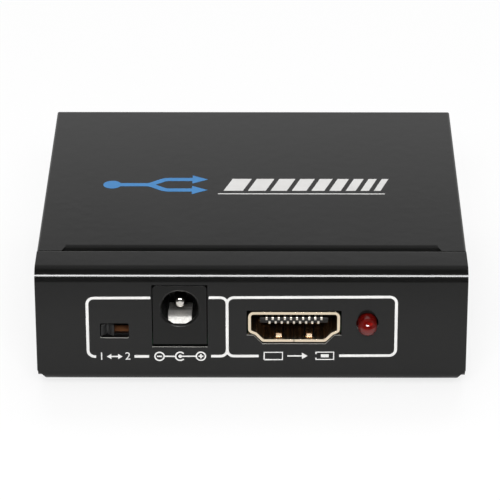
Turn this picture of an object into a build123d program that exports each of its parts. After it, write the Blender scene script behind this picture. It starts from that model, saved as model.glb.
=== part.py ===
from build123d import *
import os

# A small one-in, two-out digital video splitter in a folded steel case.
# X runs to the right seen from the front, Y to the back, Z up, in millimetres.
# The origin is on the table, under the middle of the case.

# Steel case: a bent tray with a lip at the front, closed by a U-shaped cover
case_width = 70.5
case_depth = 64.5
case_height = 20.5
sheet = 1.0
case_bend = 2.2
cover_bend = 0.35
least_bend = 0.02
strip_bend = 0.1
fit_gap = 0.1
lip_length = 7.15
lip_roll = 0.35
seam_gap = 0.35
floor_inset = 1.1
relief_height = 1.0
relief_step = 0.3

# Front edge of the cover: pressed down so that it slips under the lip
joggle_half_width = 31.35
joggle_taper = 0.7
joggle_run = 1.1
joggle_setback = 1.9
joggle_bend = 0.8
tongue_reach = 3.6

# Side tabs of the tray and the countersunk screws of the cover
tab_width = 10.0
tab_height = 14.0
tab_bend = 1.6
tab_notch = 0.8
collar_diameter = 4.2
collar_length = 0.8
cover_screw_offset = 18.0
cover_screw_height = 10.5
screw_diameter = 3.0
thread_gap = 0.05
countersink_diameter = 5.0
cover_screw_length = 4.0
recess_width = 0.6
recess_span = 2.6
recess_depth = 0.7
pan_head_diameter = 5.5
pan_head_height = 2.0
pan_head_round = 0.8
board_screw_length = 5.5

# Feet
foot_height = 2.0
foot_diameter = 8.0
foot_taper = 0.4
foot_inset_x = 14.0
foot_inset_y = 10.0

# Circuit board on four pressed-in standoffs
board_thickness = 1.6
board_rise = 4.5
board_edge_gap = 0.9
board_side_gap = 0.65
board_corner = 1.0
hole_gap = 0.15
standoff_flats = 5.5
standoff_shank = 4.2
board_screw_inset_x = 6.75
board_screw_inset_y = 9.5
solder_reach = 1.0

# Places along the front and the rear, and heights above the top of the board
input_x = 6.98
jack_pitch = 18.67
switch_pitch = 10.71
led_pitch = 11.97
output_1_x = 16.67
output_pitch = 27.6
led_height = 3.94

# Slide switch
slot_height = 2.7
slot_corner = 0.3
knob_width = 2.1
knob_height = 2.0
knob_end_gap = 0.15
switch_travel = 2.3
knob_groove = 0.8
knob_groove_depth = 0.5
switch_setback = 0.25
switch_body_width = 10.0
switch_body_height = 4.9
switch_body_depth = 4.4
switch_wall = 0.3
switch_window_height = 2.4
slider_flange = 1.2
slider_span = 4.0
switch_plate = 0.8
switch_ledge = 1.15
switch_ledge_depth = 1.0
switch_leg_front = 1.6
switch_leg_width = 1.2
switch_pin_width = 0.6
switch_pin = 0.4
switch_pin_gap = 0.02
switch_pin_setback = 1.0
terminal_head = 0.2
terminal_head_width = 1.4
terminal_head_height = 1.2
knob_edge = 0.15
knob_overlap = 0.5
slide_gap = 0.1
wiper_sheet = 0.15
wiper_width = 0.9
wiper_bend = 0.25
wiper_rest = 0.7
wiper_foot = 0.5
wiper_gap = 0.05

# Barrel power jack
jack_width = 8.8
jack_height = 10.65
jack_depth = 14.0
jack_flange = 3.3
jack_barrel_height = 10.4
jack_axis = 6.55
jack_bore = 6.1
jack_bore_depth = 9.5
jack_mouth = 0.3
jack_corner = 0.4
jack_pin_diameter = 2.0
jack_pin_setback = 1.9
jack_shoulder = 2.8
jack_hole_gap = 0.15
jack_hole_drop = 0.55
spring_width = 3.9
spring_sheet = 0.3
spring_crest = 2.4
spring_crest_y = 2.6
spring_tip_y = 0.9
spring_sink = 0.3
spring_tail_sink = 0.4
spring_bend = 0.8
spring_tail_inset = 0.4
channel_front = 0.6
channel_depth = 0.9
channel_top = 2.0
channel_back = 1.2
blade_sheet = 0.4
blade_width = 2.4
blade_inset = 0.7
blade_recess = 1.4
side_contact_y = 5.2
side_contact_sheet = 0.3
side_contact_reach = 2.3
side_contact_drop = 0.35
side_slot_reach = 2.6
side_slot_height = 0.9
side_slot_gap = 0.05

# Video receptacle: outline of the steel shell, then what is inside it
port_width = 15.0
port_height = 5.45
port_step_half = 6.4
port_step_rise = 1.32
port_side_rise = 1.8
port_foot_half = 5.15
port_foot_bend = 0.7
port_step_bend = 0.5
port_side_bend = 0.8
port_top_bend = 0.9
port_wall = 0.45
port_depth = 11.45
port_lift = 0.45
port_gap = 0.25
port_drop = 0.4
port_seam = 0.12
finger_width = 1.2
finger_offset = 2.5
finger_slot = 0.25
finger_front = 0.9
finger_back = 6.2
finger_bow = 0.35
finger_sheet = 0.3
leg_width = 1.6
leg_reach = 2.2
leg_front = 2.6
leg_pitch = 5.8
tongue_width = 11.2
tongue_thickness = 1.05
tongue_setback = 1.9
tongue_top = 1.95
body_depth = 2.6
body_setback = 1.25
body_gap = 0.05
contact_pitch = 1.0
contact_width = 0.35
contact_sheet = 0.12
contact_hook = 0.4
contact_foot = 1.6
upper_contacts = 10

# Light-emitting diodes
led_diameter = 3.1
led_proud = 2.8
led_length = 5.3
led_rim = 3.9
led_rim_length = 1.0
led_hole = 3.65
led_lead = 0.5
led_lead_bend = 0.3
led_lead_pitch = 2.54
led_lead_run = 2.0

# Chips: places from the middle of the board, sizes, and their bent leads
chip_x = 3.0
chip_y = 1.0
chip_side = 14.0
chip_height = 1.4
chip_lift = 0.1
chip_edge = 0.25
chip_dot = 1.0
chip_dot_inset = 1.6
chip_dot_depth = 0.1
chip_pins_per_side = 16
chip_pin_pitch = 0.8
chip_pin_width = 0.35
chip_pin_sheet = 0.15
chip_foot = 1.1
lead_shoulder = 0.35
lead_heel = 0.6
lead_bend = 0.03
memory_x = 20.0
memory_y = -7.0
memory_width = 5.0
memory_depth = 3.9
memory_height = 1.45
memory_pins_per_side = 4
memory_pin_pitch = 1.27
crystal_x = 18.5
crystal_y = 3.5
crystal_width = 10.2
crystal_depth = 3.7
crystal_height = 3.2
crystal_edge = 0.5
crystal_rim = 0.4
crystal_rim_height = 0.5

# Power parts and small parts of the board
regulator_x = -12.5
regulator_y = 2.0
regulator_width = 6.5
regulator_depth = 3.5
regulator_height = 1.6
regulator_lift = 0.05
regulator_foot = 1.6
regulator_pin_width = 0.7
regulator_pin_pitch = 2.3
regulator_pin_sheet = 0.25
regulator_tab_width = 3.0
coil_x = -13.0
coil_y = -9.5
coil_side = 7.3
coil_height = 4.5
coil_corner = 1.2
coil_base_height = 3.6
coil_cap_diameter = 6.1
coil_cap_edge = 0.3
diode_x = -3.6
diode_y = -14.0
diode_width = 4.3
diode_depth = 2.6
diode_height = 2.2
diode_lift = 0.1
diode_edge = 0.2
diode_lead_reach = 0.5
diode_lead_width = 1.5
diode_lead_height = 0.9
can_x = -22.5
can_y = -3.5
can_pitch = 8.5
can_count = 3
can_diameter = 6.3
can_height = 7.7
can_base = 6.6
can_base_height = 0.8
can_base_corner = 1.0
can_edge = 0.3
can_groove = 0.35
can_groove_height = 1.9
can_groove_half = 0.3
capacitor_width = 0.8
capacitor_depth = 1.6
capacitor_height = 0.8
capacitor_pitch = 2.2
capacitor_offset = 10.5
capacitors_per_row = 7
resistor_width = 1.6
resistor_depth = 0.8
resistor_height = 0.45
resistor_pitch = 2.4
resistor_setback = 16.0
resistors_per_port = 4

# Derived places
front = -case_depth / 2
rear = case_depth / 2
side = case_width / 2
case_floor = foot_height
case_roof = case_floor + case_height
floor_half = side - floor_inset
board_bottom = case_floor + sheet + board_rise
board_top = board_bottom + board_thickness
board_half = floor_half - sheet - board_side_gap
board_front = front + sheet + board_edge_gap
board_back = rear - sheet - board_edge_gap
solder_end = -board_thickness - solder_reach
screw_x = side - board_screw_inset_x
screw_y = case_depth / 2 - board_screw_inset_y
jack_x = input_x - jack_pitch
switch_x = jack_x - switch_pitch
input_led_x = input_x + led_pitch
output_2_x = output_1_x - output_pitch
output_1_led_x = output_1_x - led_pitch
output_2_led_x = output_2_x - led_pitch
slot_width = knob_width + switch_travel + 2 * knob_end_gap
knob_rest = switch_x - switch_travel / 2
switch_height = switch_body_height / 2
switch_face = sheet + switch_setback
switch_back = switch_face + switch_body_depth
jack_floor = jack_axis - jack_bore / 2
body_back = port_depth - body_setback
body_front = body_back - body_depth

# Which places hold a receptacle or a diode: x, and whether it looks to the back
ports = {"input": (input_x, False), "output_1": (output_1_x, True), "output_2": (output_2_x, True)}
leds = {"power": (input_led_x, False), "output_1": (output_1_led_x, True), "output_2": (output_2_led_x, True)}


def block(x_min, x_max, y_min, y_max, z_min, z_max):
    """A box between two corners."""
    size = (x_max - x_min, y_max - y_min, z_max - z_min)
    middle = ((x_min + x_max) / 2, (y_min + y_max) / 2, (z_min + z_max) / 2)
    return Pos(*middle) * Box(*size)


def other_face(path, radii, thickness):
    """Corners and radii of the sheet's other face, to the right of the path. A tight bend
    keeps the least radius inside."""
    points = [Vector(*point) for point in path]
    runs = [(b - a).normalized() for a, b in zip(points, points[1:])]
    rights = [Vector(run.Y, -run.X) for run in runs]
    corners = [points[0] + rights[0] * thickness]
    bends = []
    for point, radius, run, after, right, right_after in zip(
        points[1:], radii, runs, runs[1:], rights, rights[1:]
    ):
        mitre = (right + right_after) * (thickness / (1 + right.dot(right_after)))
        corners.append(point + mitre)
        turns_right = run.cross(after).Z < 0
        bends.append(max(radius - thickness, least_bend) if turns_right else radius + thickness)
    corners.append(points[-1] + rights[-1] * thickness)
    return corners, bends


def bent_strip(path, radii, thickness, width, plane=Plane.YZ):
    """Bent sheet: the path is one face, the other lies to its right, or left if negative."""
    corners, bends = other_face(path, radii, thickness)
    outline = [
        FilletPolyline(*path, radius=radii),
        FilletPolyline(*corners, radius=bends),
        Line(path[0], corners[0]),
        Line(path[-1], corners[-1]),
    ]
    return extrude(plane * make_face(outline), amount=width / 2, both=True)


def on_board(x, looks_back):
    """Place of a part whose mouth is at y = 0 and whose foot stands on the board."""
    if looks_back:
        return Location((x, rear, board_top), (0, 0, 180))
    return Location((x, front, board_top))


def save(name, shape):
    """Write one sub-part; loose solids of one kind go together in one file."""
    solids = shape.solids()
    piece = solids[0] if len(solids) == 1 else Compound(children=list(solids))
    piece.label = name
    export_step(piece, f"parts/{name}.step")


def port_outline():
    """The D-like outline of a receptacle shell, its foot on the X axis."""
    half = port_width / 2
    right = [
        (port_foot_half, 0),
        (port_step_half, port_step_rise),
        (half, port_side_rise),
        (half, port_height),
    ]
    left = [(-x, z) for x, z in reversed(right)]
    bends = [port_foot_bend, port_step_bend, port_side_bend, port_top_bend]
    return make_face(FilletPolyline(*right, *left, radius=bends + bends[::-1], close=True))


def port_cutout():
    """The hole that a receptacle looks through, a little larger than its shell."""
    edge = port_width / 2 + port_gap
    step = port_step_rise - port_gap / 2
    right = [
        (port_foot_half, -port_drop),
        (port_step_half + port_gap, step),
        (edge, step),
        (edge, port_height + port_gap),
    ]
    left = [(-x, z) for x, z in reversed(right)]
    hole = Pos(0, port_lift) * make_face(Polyline(*right, *left, close=True))
    return extrude(Plane.XZ * hole, amount=2 * sheet, both=True)


def led_cutout():
    """The round hole that a diode looks through."""
    return Pos(0, 0, led_height) * Rot(90, 0, 0) * Cylinder(led_hole / 2, 4 * sheet)


def base_tray():
    """Floor, front panel with its lip and rear panel, bent from one sheet."""
    rear_top = case_roof - sheet - fit_gap
    path = [
        (rear, rear_top),
        (rear, case_floor),
        (front, case_floor),
        (front, case_roof),
        (front + lip_length, case_roof),
    ]
    tray = bent_strip(path, [case_bend] * 3, sheet, case_width)

    # The lip's free edge is rolled over a little by the press
    lip_edge = tray.edges().filter_by(Axis.X).group_by(Axis.Z)[-1].sort_by(Axis.Y)[-1]
    tray = fillet(lip_edge, lip_roll)

    # Floor and rear panel stop short of the sides, where the cover comes down beside them
    beside = case_roof - case_bend
    behind_lip = front + lip_length + 1
    for x_min, x_max in ((floor_half, side + 1), (-side - 1, -floor_half)):
        tray -= block(x_min, x_max, front + sheet, rear + 1, case_floor - 1, beside)
        tray -= block(x_min, x_max, behind_lip, rear + 1, case_floor - 1, case_roof)
    for turn in (1, -1):
        relief = Polyline(
            (turn * floor_half, case_floor - 1),
            (turn * floor_half, case_floor + relief_step),
            (turn * (side - relief_step), case_floor + relief_height),
            (turn * (side + 1), case_floor + relief_height),
            (turn * (side + 1), case_floor - 1),
            close=True,
        )
        tray -= extrude(Plane.XZ * make_face(relief), amount=case_depth, both=True)

    # Tabs for the cover screws, bent up between relief notches
    notch = tab_bend + tab_notch / 2
    for turn in (1, -1):
        tab_path = [
            (turn * (floor_half - notch - 1), case_floor),
            (turn * floor_half, case_floor),
            (turn * floor_half, case_floor + tab_height),
        ]
        tab = bent_strip(tab_path, [tab_bend], -turn * sheet, tab_width, Plane.XZ)
        collar = Rot(0, 90, 0) * Cylinder(collar_diameter / 2, collar_length)
        bore = Rot(0, 90, 0) * Cylinder(screw_diameter / 2 + thread_gap, 3 * sheet + collar_length)
        collar_x = turn * (floor_half - sheet - collar_length / 2)
        for y in (-cover_screw_offset, cover_screw_offset):
            reach = tab_width / 2 + tab_notch
            edge = sorted((turn * (floor_half - notch), turn * (side + 1)))
            tray -= block(*edge, y - reach, y + reach, case_floor - 1, case_floor + sheet + 0.5)
            tray += Pos(0, y, 0) * tab
            tray += Pos(collar_x, y, case_floor + cover_screw_height) * collar
            tray -= Pos(collar_x, y, case_floor + cover_screw_height) * bore

    # Openings of the two panels and the floor
    slot = Pos(0, switch_height) * RectangleRounded(slot_width, slot_height, slot_corner)
    tray -= Pos(switch_x, front, board_top) * extrude(Plane.XZ * slot, amount=2 * sheet, both=True)
    jack_edge = jack_width / 2 + jack_hole_gap
    tray -= block(
        jack_x - jack_edge, jack_x + jack_edge, front - 1, front + 2 * sheet,
        board_top - jack_hole_drop, board_top + jack_height + jack_hole_gap,
    )
    for x, looks_back in ports.values():
        tray -= on_board(x, looks_back) * port_cutout()
    for x, looks_back in leds.values():
        tray -= on_board(x, looks_back) * led_cutout()
    for x in (-screw_x, screw_x):
        for y in (-screw_y, screw_y):
            tray -= Pos(x, y, case_floor) * Cylinder(standoff_shank / 2, 4 * sheet)
    return tray


def joggle_plan(reach_back):
    """The part of the cover's front edge that is pressed down, seen from above."""
    seam = front + lip_length
    bend_line = seam + joggle_setback
    corners = [
        (joggle_half_width, seam - tongue_reach - 1),
        (joggle_half_width, seam),
        (joggle_half_width - joggle_taper, bend_line),
        (joggle_half_width - joggle_taper, bend_line + reach_back),
    ]
    mirrored = [(-x, y) for x, y in reversed(corners)]
    plan = make_face(Polyline(*corners, *mirrored, close=True))
    return extrude(Pos(0, 0, case_roof - 3 * sheet) * plan, amount=4 * sheet)


def top_cover():
    """Top and both sides from one sheet, with a joggled edge under the tray's lip."""
    path = [(-side, case_floor), (-side, case_roof), (side, case_roof), (side, case_floor)]
    cover = bent_strip(path, [cover_bend] * 2, sheet, 2 * case_depth, Plane.XZ)

    # Seen from the side: rounded like the tray below, and cut down under the lip in front
    front_end = front + sheet + fit_gap
    seam = front + lip_length
    under_lip = case_roof - sheet - fit_gap
    profile = make_face(Polyline(
        (front_end, under_lip), (front_end, case_floor), (rear, case_floor), (rear, case_roof + 1),
        (seam + seam_gap, case_roof + 1), (seam + seam_gap, under_lip), close=True,
    ))
    lower_corners = profile.vertices().group_by(Axis.Y)[0]
    profile = fillet(lower_corners, case_bend)
    lip_corner = profile.vertices().group_by(Axis.X)[0].sort_by(Axis.Y)[-1]
    profile = fillet(lip_corner, case_bend - sheet - fit_gap)
    cover &= extrude(Plane.YZ * profile, amount=case_width, both=True)

    # The joggled tongue
    step = sheet + fit_gap
    bend_line = seam + joggle_setback
    reach_back = 2 * joggle_bend
    tongue_path = [
        (seam - tongue_reach, case_roof - step),
        (bend_line - joggle_run, case_roof - step),
        (bend_line, case_roof),
        (bend_line + reach_back + 1, case_roof),
    ]
    plan = joggle_plan(reach_back)
    tongue = bent_strip(tongue_path, [joggle_bend + sheet] * 2, sheet, case_width)
    cover = cover - plan + (tongue & plan)

    # Countersunk screw holes
    sink = countersink_diameter / 2
    shank = screw_diameter / 2 + 2 * thread_gap
    hole = Pos(0, 0, -sheet) * Cylinder(shank, 4 * sheet)
    cone = Pos(0, 0, -sheet / 2) * Cone(sink - sheet, sink, sheet)
    for turn in (1, -1):
        for y in (-cover_screw_offset, cover_screw_offset):
            face = Plane((turn * side, y, case_floor + cover_screw_height), x_dir=(0, 1, 0), z_dir=(turn, 0, 0))
            cover -= face * (hole + cone)
    return cover


def cross_recess():
    """The cross that a screwdriver fits, cut into the top of a head."""
    bar = Box(recess_span, recess_width, 2 * recess_depth)
    return bar + Rot(0, 0, 90) * bar


def cover_screws():
    """Four countersunk screws, their heads flush with the cover's sides."""
    sink = countersink_diameter / 2
    core = screw_diameter / 2
    head_depth = sink - core
    screw = Pos(0, 0, -head_depth / 2) * Cone(core, sink, head_depth)
    screw += Pos(0, 0, -cover_screw_length / 2) * Cylinder(core, cover_screw_length)
    screw -= cross_recess()
    places = []
    for turn in (1, -1):
        for y in (-cover_screw_offset, cover_screw_offset):
            face = Plane((turn * side, y, case_floor + cover_screw_height), x_dir=(0, 1, 0), z_dir=(turn, 0, 0))
            places.append(face * screw)
    return Compound(children=places)


def board_corners(shape):
    """One copy of the shape at each board screw."""
    places = [(x, y) for x in (-screw_x, screw_x) for y in (-screw_y, screw_y)]
    return Compound(children=[Pos(x, y, 0) * shape for x, y in places])


def board_standoffs():
    """Hexagonal standoffs whose shanks are pressed into the floor."""
    body = Pos(0, 0, case_floor + sheet) * extrude(
        RegularPolygon(standoff_flats / 2, 6, major_radius=False), amount=board_rise
    )
    shank = Pos(0, 0, case_floor + sheet / 2) * Cylinder(standoff_shank / 2, sheet)
    bore = Pos(0, 0, board_bottom) * Cylinder(screw_diameter / 2 + thread_gap, 4 * board_rise)
    return board_corners(body + shank - bore)


def board_screws():
    """Pan-head screws from above through the board into the standoffs."""
    head = Pos(0, 0, board_top + pan_head_height / 2) * Cylinder(pan_head_diameter / 2, pan_head_height)
    head = fillet(head.edges().sort_by(Axis.Z)[-1], pan_head_round)
    shank = Pos(0, 0, board_top - board_screw_length / 2) * Cylinder(screw_diameter / 2, board_screw_length)
    recess = Pos(0, 0, board_top + pan_head_height) * cross_recess()
    return board_corners(head + shank - recess)


def rubber_feet():
    """Four stick-on feet, slightly tapered, that the case stands on."""
    top = foot_diameter / 2
    bottom = top - foot_taper
    foot = Pos(0, 0, foot_height / 2) * Cone(bottom, top, foot_height)
    foot = fillet(foot.edges().sort_by(Axis.Z)[0], foot_taper)
    x = side - foot_inset_x
    y = case_depth / 2 - foot_inset_y
    return Compound(children=[Pos(a, b, 0) * foot for a in (-x, x) for b in (-y, y)])


def leg_places():
    """Legs of a receptacle: x and y of each, in the receptacle's own frame."""
    x = port_width / 2 - port_wall / 2
    return [(a, b) for a in (-x, x) for b in (leg_front, leg_front + leg_pitch)]


def port_shell():
    """Rolled steel shell with a seam, contact fingers, a back flap and four legs."""
    outline = port_outline()
    inner = offset(outline, amount=-port_wall)
    shell = extrude(Plane.XZ * (outline - inner), amount=-port_depth)
    flap = extrude(Plane.XZ * inner, amount=-port_wall)
    flap = Pos(0, port_depth - port_wall, 0) * flap
    shell += flap - block(-port_width, port_width, 0, port_depth + 1, -1, port_step_rise)

    # Open floor behind the insulator, where the contacts reach the board
    shell -= block(
        -port_foot_half, port_foot_half, body_back - port_wall, port_depth + 1, -1, port_step_rise,
    )
    shell -= block(-port_seam / 2, port_seam / 2, -1, port_depth + 1, -1, port_wall + body_gap)

    # Two fingers in the floor and two in the roof, cut free on three sides
    reach = finger_width / 2 + finger_slot
    tip = finger_front + finger_slot
    flex_path = [
        (finger_back + 2 * finger_sheet, finger_sheet / 4),
        (tip + finger_width, finger_sheet / 4 + finger_bow),
        (tip, finger_sheet / 4),
    ]
    finger = bent_strip(flex_path, [finger_width], finger_sheet, finger_width)
    lower = finger
    upper = Pos(0, 0, port_height) * mirror(finger, Plane.XY)
    for x in (-finger_offset, finger_offset):
        shell -= block(x - reach, x + reach, finger_front, finger_back, -1, port_height + 1)
        shell += Pos(x, 0, 0) * lower
        shell += Pos(x, 0, 0) * upper

    # Legs that are soldered through the board
    for x, y in leg_places():
        shell += block(
            x - port_wall / 2, x + port_wall / 2, y - leg_width / 2, y + leg_width / 2,
            -port_lift - leg_reach, port_side_rise + port_side_bend,
        )
    return Pos(0, 0, port_lift) * shell


def contact_places():
    """Nineteen contacts: x of each and whether it lies on top of the tongue."""
    first = -(upper_contacts - 1) * contact_pitch / 2
    upper = [(first + i * contact_pitch, True) for i in range(upper_contacts)]
    lower = [(x + contact_pitch / 2, False) for x, _ in upper[:-1]]
    return upper + lower


def port_insulator():
    """Moulded body with the thin tongue that the plug goes round."""
    top = port_lift + port_height - tongue_top
    tongue = block(
        -tongue_width / 2, tongue_width / 2, tongue_setback, body_back, top - tongue_thickness, top,
    )
    front_edges = tongue.edges().filter_by(Axis.X).group_by(Axis.Y)[0]
    tongue = chamfer(front_edges, contact_sheet)
    body = offset(port_outline(), amount=-port_wall - body_gap)
    body = Pos(0, body_front, port_lift) * extrude(Plane.XZ * body, amount=body_front - body_back)
    insulator = tongue + body

    # Each contact runs through the body in its own channel
    half = contact_width / 2
    for x, on_top in contact_places():
        low = top if on_top else top - tongue_thickness - contact_sheet
        insulator -= block(x - half, x + half, body_front - 1, body_back + 1, low, low + contact_sheet)
    return insulator


def port_contacts():
    """Spring-bronze contacts, hooked over the tongue's edge and bent down to the board."""
    top = port_lift + port_height - tongue_top
    bottom = top - tongue_thickness
    drop = body_back + body_gap + contact_sheet
    inner = least_bend
    outer = inner + contact_sheet
    tail = [(drop, contact_sheet), (drop + contact_foot, contact_sheet)]
    upper_path = [
        (tongue_setback - contact_sheet, top - contact_hook),
        (tongue_setback - contact_sheet, top + contact_sheet),
        (drop, top + contact_sheet),
        *tail,
    ]
    lower_path = [
        (tongue_setback, bottom + contact_hook),
        (tongue_setback, bottom),
        (drop, bottom),
        *tail,
    ]
    upper = bent_strip(upper_path, [outer, outer, inner], contact_sheet, contact_width)
    lower = bent_strip(lower_path, [inner, outer, inner], contact_sheet, contact_width)
    return Compound(children=[Pos(x, 0, 0) * (upper if on_top else lower) for x, on_top in contact_places()])


def jack_housing():
    """Moulded jack body: a square face, a barrel behind it, and slots for its springs."""
    half = jack_width / 2
    face = block(-half, half, 0, jack_flange, 0, jack_height)
    face = chamfer(face.edges().filter_by(Axis.Y).group_by(Axis.Z)[-1], jack_corner)
    barrel_radius = jack_barrel_height - jack_axis
    barrel = Pos(0, jack_depth / 2, jack_axis) * Rot(90, 0, 0) * Cylinder(barrel_radius, jack_depth)
    saddle = block(-half, half, 0, jack_depth, 0, jack_axis)
    housing = face + barrel + saddle

    bore = Rot(-90, 0, 0) * Cylinder(jack_bore / 2, jack_bore_depth, align=(Align.CENTER, Align.CENTER, Align.MIN))
    mouth = Rot(90, 0, 0) * Pos(0, 0, -jack_mouth / 2) * Cone(jack_bore / 2, jack_bore / 2 + jack_mouth, jack_mouth)
    housing -= Pos(0, 0, jack_axis) * (bore + mouth)
    pin_hole = Rot(90, 0, 0) * Cylinder(jack_shoulder / 2 + thread_gap, 4 * jack_depth)
    housing -= Pos(0, 0, jack_axis) * pin_hole & block(-half, half, jack_bore_depth, jack_depth + 1, 0, 2 * jack_height)

    # Channel under the bore for the spring, and a recess at the back for the pin's blade
    channel = spring_width / 2 + hole_gap
    top = jack_axis - channel_top
    housing -= block(-channel, channel, channel_front, jack_bore_depth, jack_floor - channel_depth, top)
    housing -= block(-channel, channel, jack_bore_depth - channel_back, jack_bore_depth, -1, top)
    blade = blade_width / 2 + hole_gap
    housing -= block(-blade, blade, jack_depth - blade_recess, jack_depth + 1, -1, jack_axis + blade)

    # Slot at the side for the switch contact
    slot_top = jack_floor - side_slot_gap
    slot_back = side_contact_y + blade_width + 2 * hole_gap
    housing -= block(
        half - side_slot_reach, half + 1, side_contact_y, slot_back, slot_top - side_slot_height, slot_top,
    )
    housing -= block(half - blade_sheet, half + 1, side_contact_y, slot_back, -1, slot_top)
    return housing


def jack_centre_pin():
    """Round pin of the jack with its rounded tip and the blade soldered to the board."""
    radius = jack_pin_diameter / 2
    blade_y = jack_depth - blade_inset
    foot = (Align.CENTER, Align.CENTER, Align.MIN)
    pin = Rot(-90, 0, 0) * Cylinder(radius, jack_bore_depth - jack_pin_setback, align=foot)
    pin = Pos(0, jack_pin_setback, jack_axis) * pin
    pin = fillet(pin.edges().sort_by(Axis.Y)[0], radius * 0.7)
    shoulder = Rot(-90, 0, 0) * Cylinder(jack_shoulder / 2, blade_y - jack_bore_depth, align=foot)
    pin += Pos(0, jack_bore_depth, jack_axis) * shoulder
    half = blade_width / 2
    blade = block(-half, half, blade_y, blade_y + blade_sheet, solder_end, jack_axis + half)
    return pin + blade


def jack_sleeve_spring():
    """Bowed leaf under the bore that presses on the plug's sleeve."""
    tail_y = jack_bore_depth - spring_tail_inset
    path = [
        (spring_tip_y, jack_floor - spring_sink),
        (spring_crest_y, jack_axis - spring_crest),
        (tail_y, jack_floor - spring_tail_sink),
        (tail_y, solder_end),
    ]
    return bent_strip(path, [spring_bend, spring_sheet + strip_bend], spring_sheet, spring_width)


def jack_switch_contact():
    """Third contact of the jack, beside the spring, with its leg outside the body."""
    half = jack_width / 2
    top = jack_floor - side_contact_drop
    path = [(half - side_contact_reach, top), (half, top), (half, solder_end)]
    strip = bent_strip(path, [side_contact_sheet + strip_bend], side_contact_sheet, blade_width, Plane.XZ)
    return Pos(0, side_contact_y + hole_gap + blade_width / 2, 0) * strip


def led_lens():
    """Tinted resin body: flange, barrel and dome, its axis along Y."""
    radius = led_diameter / 2
    back = led_length - led_proud
    rim = led_rim / 2
    outline = [
        Line((0, back), (rim, back)),
        Line((rim, back), (rim, back - led_rim_length)),
        Line((rim, back - led_rim_length), (radius, back - led_rim_length)),
        Line((radius, back - led_rim_length), (radius, radius - led_proud)),
        RadiusArc((radius, radius - led_proud), (0, -led_proud), radius),
        Line((0, -led_proud), (0, back)),
    ]
    lens = revolve(make_face(outline), Axis.Y)
    flat = block(radius, led_rim, back - led_rim_length, back, -led_rim, led_rim)
    return Pos(0, 0, led_height) * (lens - flat)


def led_leads():
    """Two square wires, bent down through the board."""
    back = led_length - led_proud
    path = [
        (back, led_height + led_lead / 2),
        (back + led_lead_run, led_height + led_lead / 2),
        (back + led_lead_run, solder_end),
    ]
    wire = bent_strip(path, [led_lead + led_lead_bend], led_lead, led_lead)
    half = led_lead_pitch / 2
    return Compound(children=[Pos(x, 0, 0) * wire for x in (-half, half)])


def switch_pins():
    """Places of the three terminals of the slide switch along X."""
    return [switch_x + i * switch_travel for i in (-1, 0, 1)]


def switch_frame():
    """Pressed steel can with a window for the knob and two legs."""
    half = switch_body_width / 2
    can = block(-half, half, switch_face, switch_back, 0, switch_body_height)
    can -= block(
        -half + switch_wall, half - switch_wall, switch_face + switch_wall, switch_back + 1,
        switch_wall, switch_body_height - switch_wall,
    )
    window = slot_width / 2
    rise = switch_window_height / 2
    can -= block(-window, window, 0, switch_face + 1, switch_height - rise, switch_height + rise)
    leg = switch_face + switch_leg_front
    for x in (-half + switch_wall / 2, half - switch_wall / 2):
        can += block(x - switch_wall / 2, x + switch_wall / 2, leg, leg + switch_leg_width, solder_end, 1)
    return Pos(switch_x, front, board_top) * can


def switch_base():
    """Brown laminate plate that closes the can, with a ledge under the wiper."""
    half = switch_body_width / 2 - switch_wall - body_gap
    low = switch_wall + body_gap
    high = switch_body_height - low
    plate_front = switch_back - switch_plate
    plate = block(-half, half, plate_front, switch_back, low, high)
    plate += block(-half, half, plate_front - switch_ledge_depth, plate_front, low, low + switch_ledge)
    across = switch_pin_width / 2 + switch_pin_gap
    rise = switch_pin / 2 + switch_pin_gap
    for x in switch_pins():
        plate -= block(
            x - switch_x - across, x - switch_x + across, plate_front - switch_pin_gap, switch_back + 1,
            switch_height - rise, switch_height + rise,
        )
    return Pos(switch_x, front, board_top) * plate


def switch_terminals():
    """Three silvered terminals with flat heads, bent down behind the can."""
    head = switch_back - switch_plate - terminal_head
    path = [
        (head + terminal_head / 2, switch_height + switch_pin / 2),
        (switch_back + switch_pin_setback, switch_height + switch_pin / 2),
        (switch_back + switch_pin_setback, solder_end),
    ]
    pin = bent_strip(path, [switch_pin + strip_bend], switch_pin, switch_pin_width)
    half = terminal_head_width / 2
    rise = terminal_head_height / 2
    pin += block(-half, half, head, head + terminal_head, switch_height - rise, switch_height + rise)
    return Compound(children=[Pos(x, front, board_top) * pin for x in switch_pins()])


def switch_knob():
    """Sliding knob with a grooved face, and the flange that keeps it in the can."""
    half = knob_width / 2
    rise = knob_height / 2
    flange_front = switch_face + switch_wall + slide_gap
    knob = block(-half, half, 0, flange_front + knob_overlap, switch_height - rise, switch_height + rise)
    knob = fillet(knob.edges().group_by(Axis.Y)[0], knob_edge)
    groove = Polyline(
        (-knob_groove / 2, -knob_groove_depth), (-knob_groove / 4, knob_groove_depth),
        (knob_groove / 4, knob_groove_depth), (knob_groove / 2, -knob_groove_depth), close=True,
    )
    knob -= Pos(0, 0, switch_height) * extrude(make_face(groove), amount=knob_height, both=True)
    span = slider_span / 2
    flange = block(-half, half, flange_front, flange_front + slider_flange, switch_height - span, switch_height + span)
    return Pos(knob_rest, front, board_top) * (knob + flange)


def switch_wiper():
    """Bowed spring strip on the back of the knob that bridges two terminals."""
    start = switch_face + switch_wall + slide_gap + slider_flange
    reach = switch_back - switch_plate - terminal_head - wiper_gap
    touch = switch_travel / 2
    span = touch + wiper_foot
    path = [
        (-span, reach - wiper_bend), (-touch, reach), (-wiper_rest, start + wiper_sheet),
        (wiper_rest, start + wiper_sheet), (touch, reach), (span, reach - wiper_bend),
    ]
    strip = bent_strip(path, [wiper_bend] * 4, wiper_sheet, wiper_width, Plane.XY)
    return Pos(knob_rest, front, board_top + switch_height) * strip


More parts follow.
